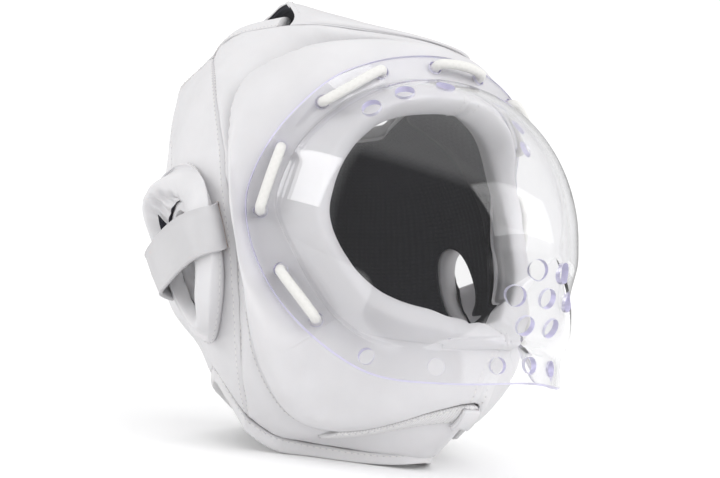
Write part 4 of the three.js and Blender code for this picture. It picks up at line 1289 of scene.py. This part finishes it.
def dome_at(x, z):
    """Station and way out of the dome's point that stands before a given x and z."""
    at, out = np.meshgrid(np.linspace(0, STATIONS, 601), np.linspace(0.01, 0.99, 99), indexing="ij")
    p = visor_face(at, out)
    best = np.argmin(np.hypot(p[..., 0] - x, p[..., 2] - z))
    return at.ravel()[best], out.ravel()[best]


def flange_spot(at):
    """The line of holes, about half way over the flange."""
    return line("foot", at) * 0.48 + line("flange", at) * 0.52


def hole_list():
    """Each hole's middle on the outer face, its way out and its radius, in mm."""
    found = []
    both = lambda at: [at] if at in (0, STATIONS / 2) else [at, STATIONS - at]
    on_flange = []
    for _, ends, pair in LACES:
        on_flange += [(at, LACE_HOLE) for end in ends for at in (both(end) if pair else [end])]
    on_flange += [(at, SKIRT_HOLE) for station in OPEN_HOLES for at in both(station)]
    for at, radius in on_flange:
        spot = np.array([at % STATIONS], float)
        found.append((flange_spot(spot)[0], flange_normal(spot)[0], radius))
    stations, out = BROW_VENTS
    places = [(at, out) for station in stations for at in both(station)]
    places += [dome_at(x, z) for x, z in MOUTH_VENTS]
    for at, far in places:
        spot, far = np.array([float(at)]), np.array([float(far)])
        found.append((visor_face(spot, far)[0], visor_normal(spot, far)[0], sizes().vent / MM / 2))
    return found


def hole_drills():
    """One drill for each hole, as a tool for the visor."""
    holes = hole_list()
    mesh = bpy.data.meshes.new("visor_holes")
    mesh.from_pydata([tuple(p) for p in to_frame([h[0] for h in holes])], [], [])
    way = np.array([h[1] for h in holes], np.float32)
    mesh.attributes.new("way", "FLOAT_VECTOR", "POINT").data.foreach_set("vector", way.ravel())
    size = np.array([h[2] * MM for h in holes], np.float32)
    mesh.attributes.new("size", "FLOAT", "POINT").data.foreach_set("value", size)
    made = run_tree("visor_drills", drill_tree(), mesh, {"Depth": DRILL_LONG, "Material": material("visor")})
    made.data.materials.append(material("visor"))
    made.data.polygons.foreach_set("material_index", [1] * len(made.data.polygons))
    return made


def make_visor():
    """Clear dome and flange in one wall, with the holes drilled through it."""
    around = np.linspace(0, STATIONS, 361)[:-1]
    dome = np.sin(np.linspace(0, 1, 46)[1:] * math.pi / 2) ** 0.85
    dome = np.concatenate([dome[:-1], [0.9995]])
    out = np.concatenate([dome, 1 + 0.95 * np.linspace(0, 1, 15) ** 1.2, [2]])
    at, far = np.meshgrid(around, out, indexing="ij")
    outer = visor_face(at, far)
    # The bend at the dome's foot is eased, and much more so under the chin.
    for _ in range(3):
        outer[:, 40:-2] = (outer[:, 39:-3] + outer[:, 40:-2] * 2 + outer[:, 41:-1]) / 4
    at_chin = spread(ease((folded(at, STATIONS)[0] - 11.5) / 1.5))[:, 30:-2]
    for _ in range(60):
        smooth = (outer[:, 29:-3] + outer[:, 30:-2] * 2 + outer[:, 31:-1]) / 4
        outer[:, 30:-2] += (smooth - outer[:, 30:-2]) * at_chin
    inner = outer - normals_from(outer, True, np.array((0, 0, 110))) * VISOR_WALL
    edge_out = outer[:, -1] - outer[:, -2]
    nose = (outer[:, -1] + inner[:, -1]) / 2 + unit(edge_out) * 0.8
    tip = np.array(APEX, float)
    rows = np.concatenate([outer, nose[:, None], inner[:, ::-1]], 1)
    n, m = rows.shape[:2]
    grid = np.arange(n * m).reshape(n, m)
    faces, sawn = [], []
    for i in range(n):
        a, b = grid[i], grid[(i + 1) % n]
        faces += [(int(a[j]), int(a[j + 1]), int(b[j + 1]), int(b[j])) for j in range(m - 1)]
        sawn += [len(out) - 1 <= j <= len(out) for j in range(m - 1)]
    vertices = np.concatenate([rows.reshape(-1, 3), [tip], [tip + np.array((0, VISOR_WALL, 0))]])
    top, low = n * m, n * m + 1
    for i in range(n):
        faces.append((int(grid[i, 0]), int(grid[(i + 1) % n, 0]), top))
        faces.append((int(grid[(i + 1) % n, -1]), int(grid[i, -1]), low))
    sawn += [False] * (len(faces) - len(sawn))
    made = new_object("visor_dome", to_frame(vertices), faces, material("visor"))
    made.data.materials.append(material("visor"))
    made.data.polygons.foreach_set("material_index", [int(k) for k in sawn])
    face_out(made)
    combine(made, hole_drills(), "DIFFERENCE")
    keep_sawn(made)
    made.data.polygons.foreach_set("use_smooth", [True] * len(made.data.polygons))
    mark_sharp(made, 40)
    settle(made, ["visor"])


def keep_sawn(made):
    """Moves the mark of sawn and drilled faces from their material slot to an attribute."""
    faces = made.data.polygons
    mark = np.zeros(len(faces), np.int32)
    faces.foreach_get("material_index", mark)
    made.data.attributes.new("sawn", "FLOAT", "FACE").data.foreach_set("value", (mark > 0).astype(np.float32))
    faces.foreach_set("material_index", np.zeros(len(faces), np.int32))
    made.data.materials.clear()
    made.data.materials.append(material("visor"))


def mark_sharp(made, degrees):
    """Keeps edges over an angle sharp."""
    work = bmesh.new()
    work.from_mesh(made.data)
    for edge in work.edges:
        edge.smooth = len(edge.link_faces) != 2 or edge.calc_face_angle(0) < math.radians(degrees)
    work.to_mesh(made.data)
    work.free()


def lace_path(ends):
    """From hole to hole over the flange, both ends going down through it."""
    start, stop = (np.array([float(end)]) for end in ends)
    a, b = flange_spot(start)[0], flange_spot(stop)[0]
    na, nb = flange_normal(start)[0], flange_normal(stop)[0]
    way = unit(b - a)
    half = sizes().lace / MM / 2
    spots = np.linspace(0, 1, 9)
    between = a + (b - a) * spots[:, None]
    at = np.linspace(start[0], stop[0], len(spots))
    normal = flange_normal(at)
    clear = np.maximum(np.sum((flange_spot(at) - between) * normal, -1), 0)
    height = clear + half + 0.5 + 1.4 * np.sin(spots * math.pi)
    over = between + normal * spread(height)
    over[0] += way * 1.6
    over[-1] -= way * 1.6
    depths = (-4.4, -2.0, 0.6)
    first = [a + na * high + way * 0.25 for high in depths]
    last = [b + nb * high - way * 0.25 for high in depths[::-1]]
    points = np.array([*first, *over, *last])
    return along(points, np.linspace(0, len(points) - 1, 90))


def make_laces():
    """Braided cords, each through its two holes."""
    tree = cord_tree()
    for name, ends, pair in LACES:
        path = lace_path(ends)
        sides = (("_left", path), ("_right", mirrored(path))) if pair else (("", path),)
        for word, points in sides:
            made = run_tree(name + "_cord" + word, tree, polyline_mesh(name, [points]),
                            {"Thickness": sizes().lace, "Material": material("lace")})
            settle(made, [name + word])


# ---------------------------------------------------------------- stitching


def make_stitches():
    """A bead of thread in each stitch and, at each needle hole, a small dark bead: painted shade in the hole.
    """
    tree = stitch_tree()
    pitch = sizes().stitch_pitch
    needle = 0.0007
    for name, shift, long, thick, finish in (
        ("seam_stitches", 0.0, pitch * 0.66, sizes().thread, "thread"),
        ("needle_holes", pitch / 2, needle, needle, "needle"),
    ):
        made = run_tree(name, tree, polyline_mesh(name, SEWN), {
            "Pitch": pitch, "Shift": shift, "Length": long, "Thickness": thick, "Material": material(finish)})
        settle(made, [])


# ---------------------------------------------------------------- operators


# Camera, in m: its place, the way it looks, the way up, and its lens and sensor in mm.
CAMERA_PLACE = (-0.3948, -0.4852, 0.0843)
CAMERA_AHEAD, CAMERA_UP = (0.626, 0.779, 0.039), (-0.11, 0.038, 0.993)
LENS, SENSOR = 60, 36
FLOOR = ((-0.45, 0.12, 0), (0.12, -0.45, 0), (8, -0.45, 0), (8, 8, 0), (-0.45, 8, 0))
# Softboxes: turn from straight ahead towards the left and rise in degrees, width and height in m, and how
# bright their faces are.
SOFTBOXES = (
    ("rear_softbox", -110, 24, (0.58, 0.38), 2.6),
    ("front_softbox", 5, 30, (1.37, 0.64), 1.6),
)
SOFTBOX_AIM, SOFTBOX_FAR = (0, 0, 0.11), 1.1
# Level ways, and brightness, of the studio's walls: all are even but for a dark corner at the wearer's front
# right, a dimmer wall on the left and a glow under the front softbox.
CORNER_WAY, SIDE_WAY, GLOW_WAY = (-0.866, -0.5, 0), (0.94, 0.34, 0), (0.087, -0.996, 0)
WALL_LIGHT, CEILING_LIGHT, CORNER_LIGHT = 1.14, 1.04, 0.25
SIDE_DIMMED, GLOW_ADDED, SEEN_DIMMED = 0.45, 0.55, 0.14


def facing(tree, turn, way, low, high, most=1.0):
    """most where a level direction turns towards a way, and 0 away from it."""
    toward = add(tree, "ShaderNodeVectorMath", {"operation": "DOT_PRODUCT"}, i0=turn, i1=way)
    return ranged(tree, toward.outputs["Value"], low, high, 0.0, most)


def product(tree, *values):
    """All the values multiplied."""
    out = values[0]
    for value in values[1:]:
        out = calc(tree, "MULTIPLY", out, value)
    return out


def studio_world():
    """A white studio that lights the helmet evenly. Only what is mirrored sees the corner and the glow, the
    left wall is dimmer for reflections, and whatever the visor passes on or mirrors is a little dimmer."""
    world = bpy.data.worlds.new("studio")
    world.use_nodes = True
    tree = world.node_tree
    tree.nodes.clear()
    way = add(tree, "ShaderNodeTexCoord").outputs["Object"]
    rise = add(tree, "ShaderNodeSeparateXYZ", Vector=way).outputs["Z"]
    level = add(tree, "ShaderNodeVectorMath", {"operation": "MULTIPLY"}, i0=way, i1=(1, 1, 0))
    turn = add(tree, "ShaderNodeVectorMath", {"operation": "NORMALIZE"}, i0=level.outputs[0]).outputs[0]
    over_floor = ranged(tree, rise, -0.8, -0.65)
    under_ceiling = ranged(tree, rise, 0.74, 0.6)
    path = add(tree, "ShaderNodeLightPath").outputs
    first = calc(tree, "LESS_THAN", path["Diffuse Depth"], 0.5)
    mirrored_ray = product(tree, calc(tree, "GREATER_THAN", path["Glossy Depth"], 0.5), first)
    seen = product(tree, first, calc(tree, "MAXIMUM", path["Is Glossy Ray"], path["Is Transmission Ray"]))
    corner = facing(tree, turn, CORNER_WAY, 0.80, 0.86)
    corner = product(tree, corner, under_ceiling, over_floor, mirrored_ray)
    rising = ranged(tree, rise, -0.05, 0.24, 0.0, GLOW_ADDED)
    under_box = calc(tree, "LESS_THAN", rise, 0.3)
    glow = product(tree, rising, under_box, facing(tree, turn, GLOW_WAY, 0.84, 0.86), mirrored_ray)
    side = facing(tree, turn, SIDE_WAY, 0.7, 0.9, SIDE_DIMMED)
    side = product(tree, side, path["Is Reflection Ray"], under_ceiling, first)
    dimmed = product(tree, calc(tree, "ADD", side, SEEN_DIMMED), seen)
    walls = ranged(tree, rise, 0.55, 0.95, WALL_LIGHT, CEILING_LIGHT)
    bright = calc(tree, "SUBTRACT", calc(tree, "ADD", walls, glow), dimmed)
    shown = add(tree, "ShaderNodeMix", {"data_type": "FLOAT"}, i0=corner, i2=bright, i3=CORNER_LIGHT)
    back = add(tree, "ShaderNodeBackground", Color=(1, 1, 1, 1), Strength=shown.outputs[0])
    add(tree, "ShaderNodeOutputWorld", Surface=back.outputs[0])
    return world


def make_camera(scene):
    camera = bpy.data.objects.new("camera", bpy.data.cameras.new("camera"))
    scene.collection.objects.link(camera)
    camera.data.lens = LENS
    camera.data.sensor_width = SENSOR
    camera.data.clip_start = 0.02
    camera.data.clip_end = 50
    ahead, up = Vector(CAMERA_AHEAD).normalized(), Vector(CAMERA_UP)
    right = ahead.cross(up).normalized()
    turn = Matrix((right, right.cross(ahead), -ahead)).transposed()
    camera.matrix_world = Matrix.Translation(CAMERA_PLACE) @ turn.to_4x4()
    scene.camera = camera


def make_softbox(scene, name, turn, rise, size, light):
    turn, rise = math.radians(turn), math.radians(rise)
    way = Vector((math.sin(turn) * math.cos(rise), -math.cos(turn) * math.cos(rise), math.sin(rise)))
    lamp = bpy.data.lights.new(name, "AREA")
    lamp.shape = "RECTANGLE"
    lamp.size, lamp.size_y = size
    lamp.energy = math.pi * size[0] * size[1] * light
    holder = bpy.data.objects.new(name, lamp)
    holder.location = Vector(SOFTBOX_AIM) + way * SOFTBOX_FAR
    holder.rotation_euler = (-way).to_track_quat("-Z", "Y").to_euler()
    scene.collection.objects.link(holder)


class HELMET_OT_stage(bpy.types.Operator):
    """Floor, lights and camera"""

    bl_idname = "helmet.stage"
    bl_label = "Stage"

    def execute(self, context):
        scene = context.scene
        make_camera(scene)
        floor = new_object("floor", FLOOR, [tuple(range(len(FLOOR)))], material("floor"))
        floor.location.z = -0.0002
        scene.world = studio_world()
        for row in SOFTBOXES:
            make_softbox(scene, *row)
        scene.view_settings.view_transform = "Standard"
        return {"FINISHED"}


class HELMET_OT_front(bpy.types.Operator):
    """Front pad, face roll, surround and the lining behind them"""

    bl_idname = "helmet.front"
    bl_label = "Padded front"

    def execute(self, context):
        make_front_pad()
        make_face_roll()
        make_surround()
        make_face_lining()
        return {"FINISHED"}


class HELMET_OT_head(bpy.types.Operator):
    """Side and back panels with their lining"""

    bl_idname = "helmet.head"
    bl_label = "Head panels"

    def execute(self, context):
        head_panel("side_cover_left", (0, REAR), ["side_panel_left"], 101)
        head_panel("side_cover_right", (2 * NAPE - REAR, 2 * NAPE), ["side_panel_right"], 103)
        head_panel("back_cover", (REAR, 2 * NAPE - REAR), ["back_panel"], 105)
        make_head_lining()
        return {"FINISHED"}


class HELMET_OT_bands(bpy.types.Operator):
    """Bindings of the crown and the rim, and the top flap"""

    bl_idname = "helmet.bands"
    bl_label = "Bindings and flap"

    def execute(self, context):
        make_bands()
        make_flap()
        return {"FINISHED"}


class HELMET_OT_ears(bpy.types.Operator):
    """Padded collars round the ears and the straps over them"""

    bl_idname = "helmet.ears"
    bl_label = "Ear collars and straps"

    def execute(self, context):
        make_ears()
        make_straps()
        return {"FINISHED"}


class HELMET_OT_chin(bpy.types.Operator):
    """Corded tape and tab under the chin"""

    bl_idname = "helmet.chin"
    bl_label = "Chin trim"

    def execute(self, context):
        make_chin()
        return {"FINISHED"}


class HELMET_OT_visor(bpy.types.Operator):
    """Clear dome with its flange and holes"""

    bl_idname = "helmet.visor"
    bl_label = "Visor"

    def execute(self, context):
        make_visor()
        return {"FINISHED"}


class HELMET_OT_laces(bpy.types.Operator):
    """Seven braided laces that hold the visor"""

    bl_idname = "helmet.laces"
    bl_label = "Laces"

    def execute(self, context):
        make_laces()
        return {"FINISHED"}


class HELMET_OT_stitches(bpy.types.Operator):
    """Rows of stitches and their needle holes"""

    bl_idname = "helmet.stitches"
    bl_label = "Stitching"

    def execute(self, context):
        make_stitches()
        return {"FINISHED"}


OPERATORS = (HELMET_OT_stage, HELMET_OT_front, HELMET_OT_head, HELMET_OT_bands, HELMET_OT_ears,
             HELMET_OT_chin, HELMET_OT_visor, HELMET_OT_laces, HELMET_OT_stitches)


class HELMET_PT_panel(bpy.types.Panel):
    """Lists the helmet's pieces and sizes"""

    bl_idname = "HELMET_PT_panel"
    bl_label = "Helmet"
    bl_space_type = "VIEW_3D"
    bl_region_type = "UI"
    bl_category = "Helmet"

    def draw(self, context):
        for group in (context.scene.helmet_sizes, context.scene.helmet_colours):
            for name in group.__annotations__:
                self.layout.prop(group, name)
        for operator in OPERATORS:
            self.layout.operator(operator.bl_idname)


CLASSES = (HelmetSizes, HelmetColours, *OPERATORS, HELMET_PT_panel)


def register():
    for item in CLASSES:
        bpy.utils.register_class(item)
    bpy.types.Scene.helmet_sizes = bpy.props.PointerProperty(type=HelmetSizes)
    bpy.types.Scene.helmet_colours = bpy.props.PointerProperty(type=HelmetColours)


def unregister():
    del bpy.types.Scene.helmet_colours
    del bpy.types.Scene.helmet_sizes
    for item in reversed(CLASSES):
        bpy.utils.unregister_class(item)


def main():
    register()
    for operator in OPERATORS:
        group, name = operator.bl_idname.split(".")
        if getattr(getattr(bpy.ops, group), name)() != {"FINISHED"}:
            raise RuntimeError(operator.bl_label + " was not made")


if __name__ == "__main__":
    main()
